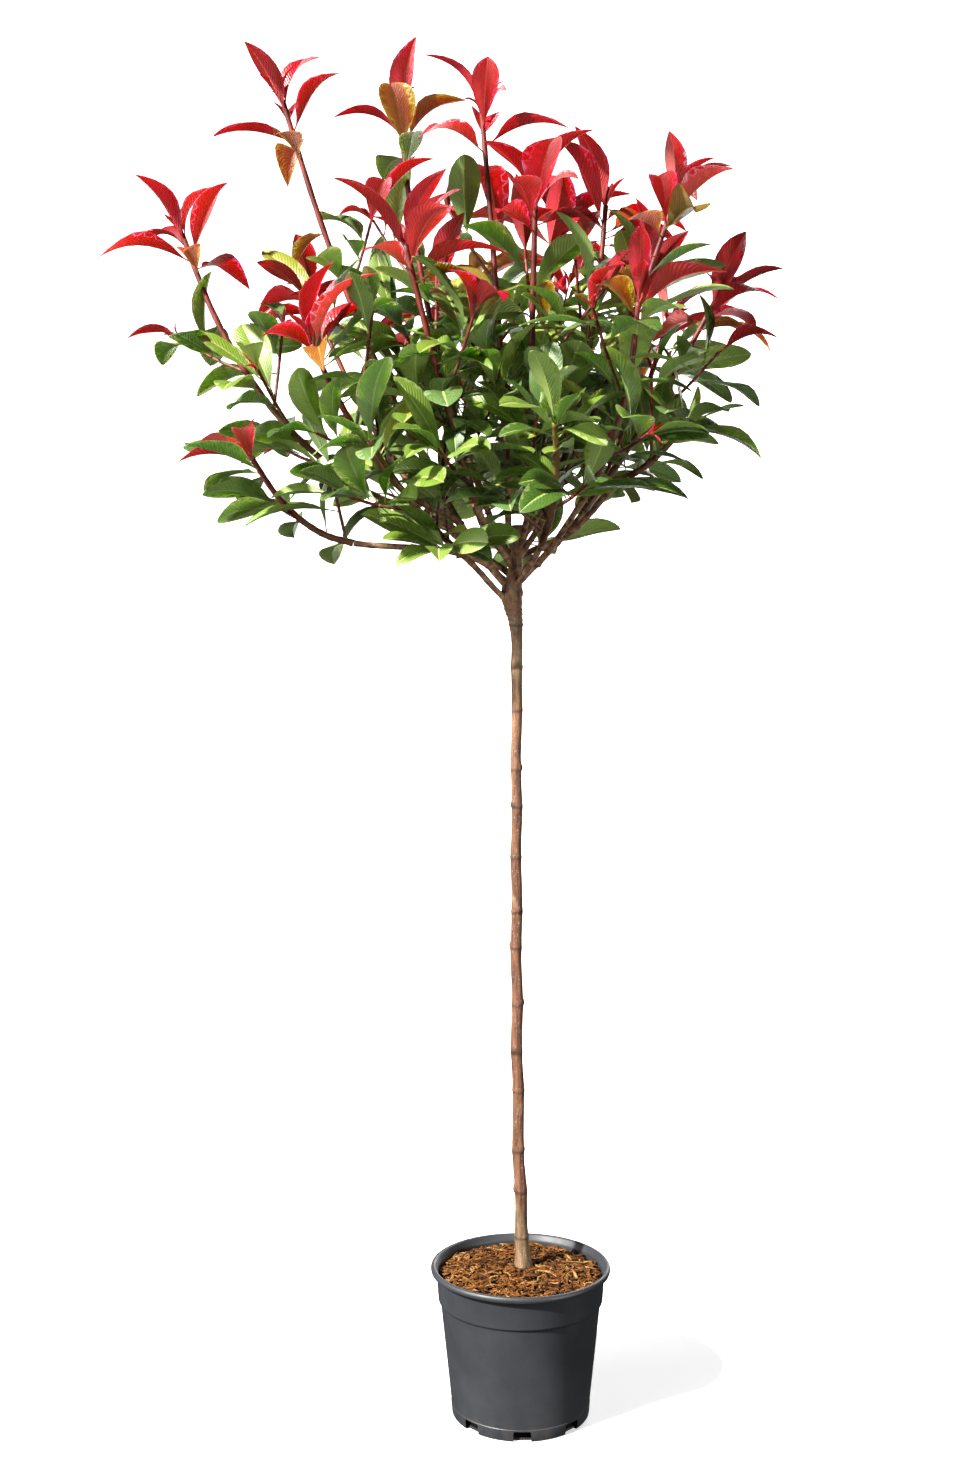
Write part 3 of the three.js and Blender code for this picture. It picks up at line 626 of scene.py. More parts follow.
def side_tint(name, shoot, tipped):
    """Red leaves with one green at the foot where a red mass's shoot comes out into the light, and
    green ones elsewhere, with a red tip on a few."""
    lit = MASSES[name][5] >= RED_MASS and shoot.joints[-1][2] > RED_ABOVE
    red_until = RED_AGE if lit else TIPPED_AGE * tipped
    return lambda i, age: "red" if age < red_until else "green"


def fine_twig(lead, seed):
    """A short twig on a leading shoot, between its leaves."""
    chance = dice(seed)
    start, tangent, _ = lead.at(within(FINE_FROM, chance))
    turn = chance() * FINE_TURN
    out = branching(tangent, turn, math.radians(within(FINE_ANGLE, chance)))
    length = FINE_REACH * within(FINE_LENGTH, chance)
    tip = start + out * length * SIDE_OUT + UP * length * SIDE_UP
    bend = (start + tip) / 2 + out * length * FINE_BEND
    places = cluster_places(FINE_LEAVES, FINE_CLUSTER_FROM)
    return Shoot([start, bend, tip], 2, (FINE_RADIUS, FINE_TIP_RADIUS), places, FINE_LEAF_SIZE, 2)


def grow_crown():
    """The whole crown: the source's shoots and leaves first, then the leaves that the solids had
    no room for, then finer twigs in what is left, and the tips."""
    crown = Crown()
    grown = []
    for name in MASSES:
        for k, shoot in enumerate(crown.shoots[name]):
            seed = seed_of(name, k)
            tint = side_tint(name, shoot, seed % TIPPED_SIDES == 0) if k else lead_tint(name)
            grown.append((name, shoot, seed, tint, crown.grow_leaves(name, shoot, seed, tint)))
    for name, shoot, seed, tint, placed in grown:
        crown.grow_leaves(name, shoot, seed, tint, False, placed)
        if shoot.level == 1 and name not in OPEN_MASSES and shoot.joints[-1][2] < RED_ABOVE:
            between = [(level - SPUR_BELOW, age) for level, age in shoot.places]
            spur = Shoot(shoot.joints, 1, (shoot.thick, shoot.thin), between, SIDE_LEAF_SIZE, 1)
            crown.grow_leaves(name, spur, seed + SPUR_SEED, tint, False)
    for name in MASSES:
        seed = seed_of(name, FINE_SEED)
        twig = fine_twig(crown.shoots[name][0], seed)
        if name not in OPEN_MASSES and crown.add_shoot(name, twig, FINE_APART):
            tint = side_tint(name, twig, seed % TIPPED_TWIGS == 0)
            crown.grow_leaves(name, twig, seed + FINE_LEAF_SEED, tint, False)
    grow_tips(crown)
    return crown


def grow_tips(crown):
    """Unfolding leaves at the tips: narrow upright ones on each leading shoot, and tiny ones on
    some of the other shoots."""
    for name, shoots in crown.shoots.items():
        for k, shoot in enumerate(shoots):
            chance = dice(seed_of(name, BUD_SEED + k))
            leading = shoot.level == 0
            if not leading and (chance() > BUDDING_SHARE or shoot.joints[-1][2] < BUDS_ABOVE):
                continue
            place, tangent, _ = shoot.at(BUD_AT)
            first_turn = chance() * 2 * math.pi
            tint = "red" if not leading or MASSES[name][5] > 0 else "green"
            for i in range(BUD_LEAVES):
                angle = math.radians(within(BUD_ANGLE, chance))
                run = branching(tangent, first_turn + i * 2 * math.pi / BUD_LEAVES, angle)
                face = unit(tangent - run * (tangent @ run))
                length = (LEAD_BUD if leading else SIDE_BUD) * within(BUD_LENGTH, chance)
                arch = within(BUD_ARCH, chance)
                leaf = dict(foot=place, run=run, face=face, length=length, arch=arch, tint=tint)
                crown.leaves.append(leaf)


def side_quads(rings, around):
    """Quads between rings of around points each."""
    i, j = np.meshgrid(np.arange(rings - 1), np.arange(around), indexing="ij")
    a = (i * around + j).ravel()
    b = (i * around + (j + 1) % around).ravel()
    return np.stack([a, b, b + around, a + around], -1)


def loft_faces(count, rings, around):
    """Quads of count closed lofts, each of rings by around points, with both ends closed by
    quads between facing points. around is even."""
    sides = side_quads(rings, around)
    k = np.arange(around // 2 - 1)
    first = np.stack([k + 1, k, around - 1 - k, around - 2 - k], -1)
    last = first[:, ::-1] + (rings - 1) * around
    one = np.concatenate([sides, first, last])
    steps = np.arange(count) * rings * around
    return (one[None] + steps[:, None, None]).reshape(-1, 4)


def turned(radii, heights, around):
    """Rings of points round Z: (r cos a, r sin a, z) for each r and z, with a in equal steps."""
    r, z = (np.asarray(v, float)[:, None] for v in (radii, heights))
    turns = round_steps(around)
    return np.stack([r * np.cos(turns), r * np.sin(turns), z + 0 * turns], -1)


def put(name, data):
    """An object of the data, put in the scene."""
    thing = bpy.data.objects.new(name, data)
    bpy.context.scene.collection.objects.link(thing)
    return thing


def mesh_piece(name, points, faces, materials, slots=None, uv=None):
    """A mesh from arrays: points in metres and faces of four corners each. slots is the material
    number of each face, and uv has two numbers for each point."""
    mesh = bpy.data.meshes.new(name)
    points = np.asarray(points, np.float32).reshape(-1, 3)
    faces = np.asarray(faces, np.int32)
    mesh.vertices.add(len(points))
    mesh.vertices.foreach_set("co", points.ravel())
    mesh.loops.add(faces.size)
    mesh.loops.foreach_set("vertex_index", faces.ravel())
    mesh.polygons.add(len(faces))
    mesh.polygons.foreach_set("loop_start", np.arange(len(faces), dtype=np.int32) * faces.shape[1])
    for material in materials:
        mesh.materials.append(material)
    if slots is not None:
        mesh.polygons.foreach_set("material_index", np.asarray(slots, np.int32))
    if uv is not None:
        layer = mesh.uv_layers.new(name="UVMap")
        layer.data.foreach_set("uv", np.asarray(uv, np.float32)[faces.ravel()].ravel())
    mesh.update(calc_edges=True)
    mesh.polygons.foreach_set("use_smooth", np.full(len(faces), True))
    mesh.validate()
    return put(name, mesh)


def dress(piece, slot_name, *nodes):
    """Rides the piece on the one body and hides the nodes that it stands for. slot_name is not used."""
    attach(piece, "root")
    if nodes:
        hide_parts(*nodes)
    return piece


# Materials.
class Nodes:
    """Short calls for a material's node tree. A value is a socket to join or a plain setting."""

    def __init__(self, name):
        self.material = bpy.data.materials.new(name)
        self.material.use_nodes = True
        self.tree = self.material.node_tree
        self.shader = self.tree.nodes["Principled BSDF"]
        self.coords = self.tree.nodes.new("ShaderNodeTexCoord")

    def give(self, target, value):
        """Joins the value to the target if it is a socket, or else sets the target to it."""
        if isinstance(value, bpy.types.NodeSocket):
            self.tree.links.new(value, target)
        else:
            target.default_value = value

    def feed(self, **values):
        """Gives the shader's own sockets their values."""
        for key, value in values.items():
            self.give(self.shader.inputs[key.replace("_", " ")], value)

    def step(self, kind, values, **settings):
        """One node with its settings, and with values for its inputs by name or number."""
        node = self.tree.nodes.new("ShaderNode" + kind)
        for key, setting in settings.items():
            setattr(node, key, setting)
        for key, value in values.items():
            self.give(node.inputs[key], value)
        return node

    def axes(self, kind):
        """The three parts of the object's own coordinates or of its UV map."""
        return self.step("SeparateXYZ", {0: self.coords.outputs[kind]}).outputs

    def noise(self, scale, detail=4.0, stretch=(1, 1, 1), rough=0.55):
        """Noise over the object's own coordinates in metres, stretched along its axes."""
        where = self.step("Mapping", {"Vector": self.coords.outputs["Object"], "Scale": stretch})
        values = {"Vector": where.outputs[0], "Scale": scale, "Detail": detail, "Roughness": rough}
        return self.step("TexNoise", values).outputs["Fac"]

    def spread(self, value, low, high, from_low=0.3, from_high=0.7):
        """Maps a value's range to low and high."""
        ends = {"From Min": from_low, "From Max": from_high, "To Min": low, "To Max": high}
        return self.step("MapRange", {"Value": value, **ends}).outputs["Result"]

    def ramp(self, value, stops):
        """Colours between stops of (place, colour)."""
        node = self.step("ValToRGB", {"Fac": value})
        elements = node.color_ramp.elements
        while len(elements) < len(stops):
            elements.new(0.5)
        for element, (place, colour) in zip(elements, stops):
            element.position = place
            element.color = (*colour, 1)
        return node.outputs["Color"]

    def mix(self, share, a, b, mode="MIX"):
        """Mixes two colours, each a socket or a plain colour."""
        a, b = (c if isinstance(c, bpy.types.NodeSocket) else (*c, 1) for c in (a, b))
        return self.step("Mix", {0: share, 6: a, 7: b}, data_type="RGBA", blend_type=mode).outputs[2]

    def maths(self, kind, a, b=0.0):
        """One step of arithmetic on sockets or numbers."""
        return self.step("Math", {0: a, 1: b}, operation=kind).outputs[0]

    def bump(self, height, depth, strength=1.0):
        """Bump by a height socket, depth in metres."""
        values = {"Height": height, "Distance": depth, "Strength": strength}
        self.feed(Normal=self.step("Bump", values).outputs["Normal"])


# Side veins along a leaf, as the turns of a sine in radians, and how far they slant forward.
VEINS = 120.0
VEIN_SLANT = 60.0
VEIN_DEPTH = 0.0008


def leaf_material(name, colour, gloss, glow, coat=0.0):
    """A leaf: one plain colour, gloss that varies a little, and veins in relief that run forward
    from the midrib: sin(VEINS s - VEIN_SLANT |t|) on the leaf's own s and t."""
    nodes = Nodes(name)
    nodes.feed(Base_Color=(*colour, 1), Coat_Weight=coat, Coat_Roughness=0.5)
    weight, *radius = glow
    nodes.feed(Subsurface_Weight=weight, Subsurface_Radius=radius, Subsurface_Scale=GLOW_DEPTH)
    nodes.feed(Roughness=nodes.spread(nodes.noise(90), gloss - 0.07, gloss + 0.1))
    along, place_across, _ = nodes.axes("UV")
    across = nodes.maths("ABSOLUTE", nodes.maths("SUBTRACT", place_across, 0.5))
    slant = nodes.maths("MULTIPLY", across, VEIN_SLANT)
    phase = nodes.maths("SUBTRACT", nodes.maths("MULTIPLY", along, VEINS), slant)
    veins = nodes.maths("SINE", phase)
    height = nodes.maths("ADD", nodes.maths("MULTIPLY", veins, 0.5), nodes.noise(260))
    nodes.bump(height, VEIN_DEPTH, 0.5)
    return nodes.material


# Leaf colours by tint, as (name, colour, underside colour, midrib colour, gloss, share).
LEAF_KINDS = {
    "red": [
        ("crimson", (0.4, 0.002, 0.011), (0.42, 0.02, 0.03), (0.66, 0.07, 0.07), 0.3, 6),
        ("scarlet", (0.58, 0.004, 0.012), (0.52, 0.03, 0.03), (0.8, 0.13, 0.11), 0.3, 4),
        ("wine", (0.2, 0.003, 0.009), (0.3, 0.02, 0.022), (0.5, 0.05, 0.05), 0.28, 4),
        ("rose", (0.62, 0.05, 0.066), (0.6, 0.14, 0.13), (0.8, 0.28, 0.24), 0.26, 2),
    ],
    "bronze": [
        ("bronze", (0.3, 0.1, 0.01), (0.36, 0.14, 0.035), (0.5, 0.2, 0.06), 0.34, 3),
        ("olive", (0.19, 0.135, 0.014), (0.25, 0.18, 0.05), (0.48, 0.34, 0.08), 0.34, 2),
        ("rust", (0.44, 0.06, 0.01), (0.44, 0.12, 0.04), (0.56, 0.18, 0.07), 0.34, 2),
    ],
    "green": [
        ("deep_green", (0.05, 0.115, 0.009), (0.17, 0.25, 0.07), (0.32, 0.42, 0.12), 0.28, 5),
        ("mid_green", (0.16, 0.27, 0.024), (0.26, 0.35, 0.1), (0.42, 0.5, 0.14), 0.28, 8),
        ("blue_green", (0.1, 0.19, 0.045), (0.22, 0.3, 0.12), (0.36, 0.45, 0.15), 0.26, 3),
        ("fresh_green", (0.18, 0.285, 0.034), (0.29, 0.39, 0.1), (0.46, 0.54, 0.17), 0.32, 5),
        ("yellow_green", (0.26, 0.28, 0.02), (0.32, 0.36, 0.09), (0.52, 0.52, 0.14), 0.34, 1),
    ],
}

# How much light spreads inside a leaf, how far each colour of it goes as a share of GLOW_DEPTH in
# metres, how much clear coat its upper side has, and how much duller its underside and midrib are.
LEAF_GLOW = {"red": (0.42, 1.0, 0.09, 0.13), "bronze": (0.3, 1.0, 0.5, 0.1), "green": (0.14, 0.5, 1.0, 0.14)}
GLOW_DEPTH = 0.004
LEAF_COAT = {"red": 0.4, "bronze": 0.4, "green": 1.0}
UNDERSIDE_DULLER = 0.18
MIDRIB_DULLER = 0.1
COLOUR_SEED = 7

# A leaf's stations from the foot of its stalk to its tip, and its places across from edge to edge.
STALK_END = 0.1
LEAF_STATIONS = np.array([0, 0.1, 0.17, 0.26, 0.37, 0.49, 0.61, 0.73, 0.84, 0.93, 0.975, 1.0])
LEAF_ACROSS = np.array([1, 0.5, 0.062, -0.062, -0.5, -1])
# Its widest half as a share of its length, its outline's power at the foot, half its stalk's width,
# how much of that goes by the tip, and in which share of its length the blade's folds set in.
HALF_WIDTH = 0.178
FOOT_POWER = 1.1
STALK_HALF = 1.15
STALK_TAPER = 0.75
BLADE_OPENS = 0.12
# Its thickness at the margin and at the midrib, and how far across the midrib reaches.
MARGIN_THICK = 0.45
RIB_THICK = 1.5
RIB_WIDTH = 0.2

# How leaves vary: spans of their fold, curl and slimness, the share of the rule's arch that they
# keep and the power of their outline at the tip, for green leaves and for young red and bronze
# ones. The other spans hold for both.
GREEN_LEAF = {"fold": (0.14, 0.38), "curl": (0.02, 0.08), "slim": (0.86, 0.24), "arch": 0.8, "tip": 0.66}
YOUNG_LEAF = {"fold": (0.5, 0.5), "curl": (0.1, 0.14), "slim": (0.7, 0.24), "arch": 1.0, "tip": 0.92}
LEAF_GROWTH = (1.02, 0.16)
LEAF_BULGE = (0.05, 0.09)
LEAF_WAVE = (0.006, 0.016)
WAVES = 1.4
LEAF_TWIST = 1.1
LEAF_SICKLE = 0.22
BUD_LENGTH_LIMIT = 60
BUD_SLIM = 0.7


def leaf_outline(s, tip_power):
    """The blade's half width as a share of its widest: u^FOOT_POWER (1 - u)^tip_power, scaled to
    peak at 1, with u running from the stalk's end to the tip."""
    u = np.clip((s - STALK_END) / (1 - STALK_END), 0, 1)
    peak = FOOT_POWER / (FOOT_POWER + tip_power)
    widest = peak**FOOT_POWER * (1 - peak) ** tip_power
    return u**FOOT_POWER * (1 - u) ** tip_power / widest


def leaf_surfaces(leaves, chance):
    """Closed thin leaves on a grid of s, from foot to tip, and t, across and back underneath.

    Along the leaf: L s (1 - LEAF_BACK arch s) run, and -L (LEAF_DROP arch s^2 + curl s^4) face.
    Across it: w(s) t side, lifted by (fold |t| + bulge sin(pi |t|)) w(s) and by
    wave t^2 sin(2 pi (WAVES s + phase)), turned by twist s about the midrib, and moved by
    sickle s^2 side. The underside lies below by the leaf's thickness, greatest at the midrib.
    """
    n = len(leaves)
    form = GREEN_LEAF if leaves[0]["tint"] == "green" else YOUNG_LEAF

    def pick(key):
        return np.array([leaf[key] for leaf in leaves])

    def vary(span):
        return span[0] + span[1] * chance.random(n)

    def each(values):
        return values[:, None, None]

    foot, run, face = pick("foot"), pick("run"), pick("face")
    side = np.cross(face, run)
    arch = pick("arch") * form["arch"]
    length = pick("length") * vary(LEAF_GROWTH)
    fold = vary(form["fold"])
    curl = vary(form["curl"])
    bulge = vary(LEAF_BULGE)
    wave = vary(LEAF_WAVE) * length
    phase = chance.random(n)
    twist = (chance.random(n) - 0.5) * LEAF_TWIST
    slim = vary(form["slim"])
    slim = np.where(length < BUD_LENGTH_LIMIT, BUD_SLIM * slim, slim)
    sickle = (chance.random(n) - 0.5) * LEAF_SICKLE * length

    s = LEAF_STATIONS[None, :, None]
    t_under = LEAF_ACROSS[-2:0:-1]
    t = np.concatenate([LEAF_ACROSS, t_under])[None, None, :]
    under = np.concatenate([0 * LEAF_ACROSS, 0 * t_under + 1])[None, None, :]
    blade = leaf_outline(s, form["tip"]) * HALF_WIDTH * each(length * slim)
    stalk = STALK_HALF * (1 - STALK_TAPER * np.clip((s - STALK_END) / (1 - STALK_END), 0, 1))
    half = np.maximum(blade, stalk)
    along = each(length) * s * (1 - LEAF_BACK * each(arch) * s)
    down = each(length) * (each(arch) * s**2 * LEAF_DROP + each(curl) * s**4)

    on_blade = np.clip((s - STALK_END) / BLADE_OPENS, 0, 1)
    lift = (each(fold) * np.abs(t) + each(bulge) * np.sin(np.pi * np.abs(t))) * half * on_blade
    lift = lift + on_blade * each(wave) * t**2 * np.sin(2 * np.pi * (WAVES * s + each(phase)))
    thick = (RIB_THICK - MARGIN_THICK) * np.exp(-((t / RIB_WIDTH) ** 2)) * (1.15 - s)
    lift = lift - under * (MARGIN_THICK + thick)
    across = half * t
    angle = each(twist) * s
    sideways = across * np.cos(angle) - lift * np.sin(angle) + each(sickle) * s**2
    raised = across * np.sin(angle) + lift * np.cos(angle) - down
    points = (
        foot[:, None, None]
        + along[..., None] * run[:, None, None]
        + sideways[..., None] * side[:, None, None]
        + raised[..., None] * face[:, None, None]
    )
    uv = np.stack([s + 0 * across, 0.5 + 0.5 * t + 0 * across], -1)
    return points, uv


def leaf_slots():
    """Material number of each face of one leaf: 0 upper side, 1 underside, 2 midrib and stalk."""
    around = 2 * len(LEAF_ACROSS) - 2
    stations = len(LEAF_STATIONS)
    j = np.arange(around)
    rib = len(LEAF_ACROSS) // 2 - 1
    kind = np.where(j < len(LEAF_ACROSS) - 1, 0, 1)
    kind[rib] = 2
    kind[around - 1 - rib] = 2
    grid = np.repeat(kind[None], stations - 1, 0)
    grid[LEAF_STATIONS[1:] <= STALK_END + 1e-6] = 2
    ends = np.full(2 * (around // 2 - 1), 2)
    return np.concatenate([grid.ravel(), ends])


def crease(piece):
    """Sharp shading along each leaf's two margins and both sides of its midrib: the edges that
    join points of one place across, where that place is one of those four."""
    mesh = piece.data
    ends = np.empty(len(mesh.edges) * 2, np.int32)
    mesh.edges.foreach_get("vertices", ends)
    place = ends.reshape(-1, 2) % (2 * len(LEAF_ACROSS) - 2)
    margins_and_rib = (0, len(LEAF_ACROSS) - 1, len(LEAF_ACROSS) // 2 - 1, len(LEAF_ACROSS) // 2)
    lengthwise = (place[:, 0] == place[:, 1]) & np.isin(place[:, 0], margins_and_rib)
    mesh.attributes.new("sharp_edge", "BOOLEAN", "EDGE").data.foreach_set("value", lengthwise)


def make_leaves(crown):
    """One piece for each leaf colour."""
    chance = np.random.default_rng(COLOUR_SEED)
    by_kind = {}
    for leaf in crown.leaves:
        kinds = LEAF_KINDS[leaf["tint"]]
        shares = np.array([kind[5] for kind in kinds], float)
        kind = kinds[chance.choice(len(kinds), p=shares / shares.sum())]
        by_kind.setdefault(kind[0], (kind, []))[1].append(leaf)
    around = 2 * len(LEAF_ACROSS) - 2
    pieces = []
    for name, (kind, leaves) in by_kind.items():
        _, upper, underside, rib, gloss, _ = kind
        tint = leaves[0]["tint"]
        glow = LEAF_GLOW[tint]
        materials = [
            leaf_material(name + "_upper", upper, gloss, glow, LEAF_COAT[tint]),
            leaf_material(name + "_under", underside, gloss + UNDERSIDE_DULLER, glow),
            leaf_material(name + "_rib", rib, gloss + MIDRIB_DULLER, glow),
        ]
        points, uv = leaf_surfaces(leaves, chance)
        faces = loft_faces(len(leaves), len(LEAF_STATIONS), around)
        slots = np.tile(leaf_slots(), len(leaves))
        piece = mesh_piece("leaves_" + name, points * MM, faces, materials, slots, uv.reshape(-1, 2))
        crease(piece)
        pieces.append(dress(piece, "leaf_green" if tint == "green" else "leaf_red"))
    return pieces


# How far a straight shoot sags in its middle, as a share of its length.
SHOOT_SAG = 0.04


def smooth_path(joints, count):
    """A rounded path through a shoot's joints: a Catmull-Rom curve, count points."""
    joints = np.asarray(joints)
    if len(joints) == 2:
        sag = np.linalg.norm(joints[1] - joints[0]) * SHOOT_SAG
        middle = joints.mean(0) - UP * sag
        joints = np.array([joints[0], middle, joints[1]])
    padded = np.concatenate([[2 * joints[0] - joints[1]], joints, [2 * joints[-1] - joints[-2]]])
    u = np.linspace(0, len(joints) - 1, count)
    i = np.minimum(u.astype(int), len(joints) - 2)
    f = (u - i)[:, None]
    a, b, c, d = (padded[i + k] for k in range(4))
    return 0.5 * (2 * b + (c - a) * f + (2 * a - 5 * b + 4 * c - d) * f**2 + (3 * b - a - 3 * c + d) * f**3)


# Twigs: points round them, rings in each half, swellings along them, and for each kind its dark
# tone, light tone and gloss.
TWIG_ROUND = 8
TWIG_RINGS = 22
TWIG_SWELL = 0.06
TWIG_SWELL_STEP = 1.7
TWIG_KINDS = {
    "brown": ((0.13, 0.042, 0.022), (0.21, 0.1, 0.045), 0.5),
    "red": ((0.085, 0.009, 0.007), (0.25, 0.032, 0.018), 0.5),
    "green": ((0.16, 0.13, 0.03), (0.24, 0.09, 0.035), 0.42),
}


def make_twigs(crown):
    """Shoots as smooth tapering tubes: their young upper halves apart from the older brown wood."""
    bodies = {kind: [] for kind in TWIG_KINDS}
    count = 2 * TWIG_RINGS - 1
    swell = 1 + TWIG_SWELL * np.sin(np.arange(count) * TWIG_SWELL_STEP)
    for name, shoots in crown.shoots.items():
        for shoot in shoots:
            radii = np.linspace(shoot.thick, shoot.thin, count) * TWIG_STOUT[shoot.level]
            body = tube(smooth_path(shoot.joints, count), radii * swell, TWIG_ROUND)
            young = "red" if MASSES[name][5] > 0 or shoot.level > 0 else "green"
            bodies["brown"].append(body[:TWIG_RINGS])
            bodies[young].append(body[TWIG_RINGS - 1:])
    for kind, look in TWIG_KINDS.items():
        points = np.array(bodies[kind]) * MM
        faces = loft_faces(len(points), TWIG_RINGS, TWIG_ROUND)
        piece = mesh_piece("twigs_" + kind, points, faces, [twig_material("twig_" + kind, *look)])
        dress(piece, "twig_bark")


def twig_material(name, dark, light, gloss):
    """Smooth young bark, streaked along and dotted with pores."""
    nodes = Nodes(name)
    streaks = nodes.noise(140, 3.0, (1, 1, 0.25))
    nodes.feed(Base_Color=nodes.ramp(streaks, [(0.35, dark), (0.7, light)]))
    nodes.feed(Roughness=nodes.spread(nodes.noise(300), gloss - 0.08, gloss + 0.12))
    nodes.bump(nodes.noise(700, 2.0), 0.0004, 0.6)
    return nodes.material


# The stem: how far apart its ring scars stand and by how much they stray, the heights of its
# wrinkles, knuckle and graft, which way the graft faces, points round it and rows up it, and its
# side-to-side sway. Its tones run between two heights in metres.
NODE_SPACING = 64.0
NODE_STRAY = 9.0
WRINKLES_Z = 1060.0
KNUCKLE_Z = 1090.0
GRAFT_Z = 1000.0
GRAFT_FACING = -1.2
STEM_ROUND = 72
STEM_ROWS = 760
STEM_SWAY = 0.8
BARK_FROM = 0.19
BARK_TO = 1.19
BARK_TONES = [
    (0.0, (0.19, 0.13, 0.07)),
    (0.045, (0.15, 0.095, 0.05)),
    (0.075, (0.17, 0.076, 0.04)),
    (0.55, (0.165, 0.07, 0.036)),
    # From here up the tones are lighter: partly tan bark at the graft, partly painted light for the crown's
    # shade.
    (0.74, (0.22, 0.115, 0.06)),
    (0.82, (0.29, 0.165, 0.085)),
    (0.9, (0.21, 0.11, 0.055)),
]


def bark_material(name):
    """The stem's bark by height: grey-brown at the foot, red-brown in the middle, brown above and
    lighter towards the fork, partly tan bark and partly painted light that makes up for the crown's
    shade; with streaks along it, pale pores and scuffs, dark marks at the nodes and a tan graft patch."""
    nodes = Nodes(name)
    height = nodes.spread(nodes.axes("Object")[2], 0.0, 1.0, BARK_FROM, BARK_TO)
    wander = nodes.spread(nodes.noise(14, 3.0, (1, 1, 0.4)), -0.03, 0.03)
    base = nodes.ramp(nodes.maths("ADD", height, wander), BARK_TONES)
    streaks = nodes.spread(nodes.noise(170, 6.0, (1, 1, 0.14), 0.65), 0.0, 1.0, 0.36, 0.66)
    tone = nodes.mix(streaks, (0.42, 0.38, 0.36), (1.5, 1.42, 1.35))
    colour = nodes.mix(1.0, base, tone, "MULTIPLY")
    scuff = nodes.spread(nodes.noise(60, 4.0, (1, 1, 0.35)), 0.0, 0.6, 0.58, 0.68)
    colour = nodes.mix(scuff, colour, (0.36, 0.25, 0.16))
    pores = nodes.spread(nodes.noise(430, 2.0, (1, 1, 0.8)), 0.0, 0.7, 0.64, 0.7)
    colour = nodes.mix(pores, colour, (0.44, 0.34, 0.24))
    marks, graft, _ = nodes.axes("UV")
    colour = nodes.mix(nodes.maths("MULTIPLY", graft, 0.85), colour, (0.4, 0.27, 0.15))
    colour = nodes.mix(nodes.maths("MULTIPLY", marks, 0.8), colour, (0.035, 0.018, 0.012))
    nodes.feed(Base_Color=colour)
    nodes.feed(Roughness=nodes.spread(streaks, 0.5, 0.78, 0.0, 1.0))
    fine = nodes.maths("ADD", nodes.noise(420, 6.0, (1, 1, 0.3)), nodes.maths("MULTIPLY", streaks, 0.6))
    nodes.bump(fine, 0.0012, 1.0)
    return nodes.material


def ripples(angle, z, seed):
    """A smooth uneven field over angle and height, mostly from -1 to 1: the sum of eight waves
    over 4."""
    chance = np.random.default_rng(seed)
    field = 0
    for _ in range(8):
        turns = chance.integers(1, 7)
        waves = chance.uniform(0.01, 0.12)
        field = field + np.sin(turns * angle + waves * z + chance.uniform(0, 6.3))
    return field / 4


def hump(x, width, power=2):
    """exp(-(x / width)^power): 1 at 0, and next to nothing two widths away."""
    return np.exp(-((x / width) ** power))


def angle_off(angle, middle):
    """How far an angle is from a middle one, from -pi to pi."""
    return np.angle(np.exp(1j * (angle - middle)))


def make_stem():
    """The stem on a grid of height z and angle a: centre(z) + r(z, a) (cos a, sin a). r is the
    table's radius, smoothed, plus a relief. The UV has the depth of the dark marks across and the
    graft's patch along."""
    low, high = STEM[0][2], STEM[-1][2]
    z = np.concatenate([[low], np.linspace(low + 0.4, high - 0.4, STEM_ROWS), [high]])
    angle = round_steps(STEM_ROUND)
    centre, radius = stem_at(z)
    soft = np.exp(-np.linspace(-2.5, 2.5, 31) ** 2)
    soft /= soft.sum()
    radius = np.convolve(np.pad(radius, 15, mode="edge"), soft, mode="valid")
    zz, aa = np.meshgrid(z, angle, indexing="ij")
    node = np.floor(zz / NODE_SPACING)
    above = zz - (node + 0.5) * NODE_SPACING - NODE_STRAY * np.sin(2.3 * node)
    # A ring scar and a bud scar at each node, then a patch for the graft.
    ring = hump(above, 1.6)
    bud = hump(above - 3, 4) * hump(angle_off(aa, node * SPIRAL), 0.6)
    graft = hump(zz - GRAFT_Z, 26, 4) * hump(angle_off(aa, GRAFT_FACING), 0.8)
    relief = 0.3 * ripples(aa, zz, 3) + 0.35 * ring + 1.7 * bud + 0.5 * hump(above, 9)
    # Wrinkles under the knuckle, ribs at the foot, lumps on the knuckle and on the graft.
    relief += 0.5 * np.sin(zz * 0.9) * hump(zz - WRINKLES_Z, 16)
    relief += 1.1 * np.exp(-(zz - low) / 9) * np.cos(4 * aa + 0.5)
    relief += 1.5 * hump(zz - KNUCKLE_Z, 22) * ripples(aa, zz * 4, 5)
    relief += graft * (1.0 + 0.6 * ripples(aa, zz * 6, 8))
    r = radius[:, None] + relief
    r[0], r[-1] = r[1] * 0.985, r[-2] * 0.9
    x = centre[:, None, 0] + STEM_SWAY * np.sin(np.pi * zz / NODE_SPACING) + r * np.cos(aa)
    y = centre[:, None, 1] + r * np.sin(aa)
    points = np.stack([x, y, zz], -1) * MM
    marks = np.clip(0.7 * hump(above + 2.5, 1.5) + bud + 0.35 * ring, 0, 1)
    uv = np.stack([marks, graft], -1).reshape(-1, 2)
    faces = loft_faces(1, len(z), STEM_ROUND)
    piece = mesh_piece("stem_bark", points, faces, [bark_material("stem_bark")], uv=uv)
    return dress(piece, "stem_bark", "stem")


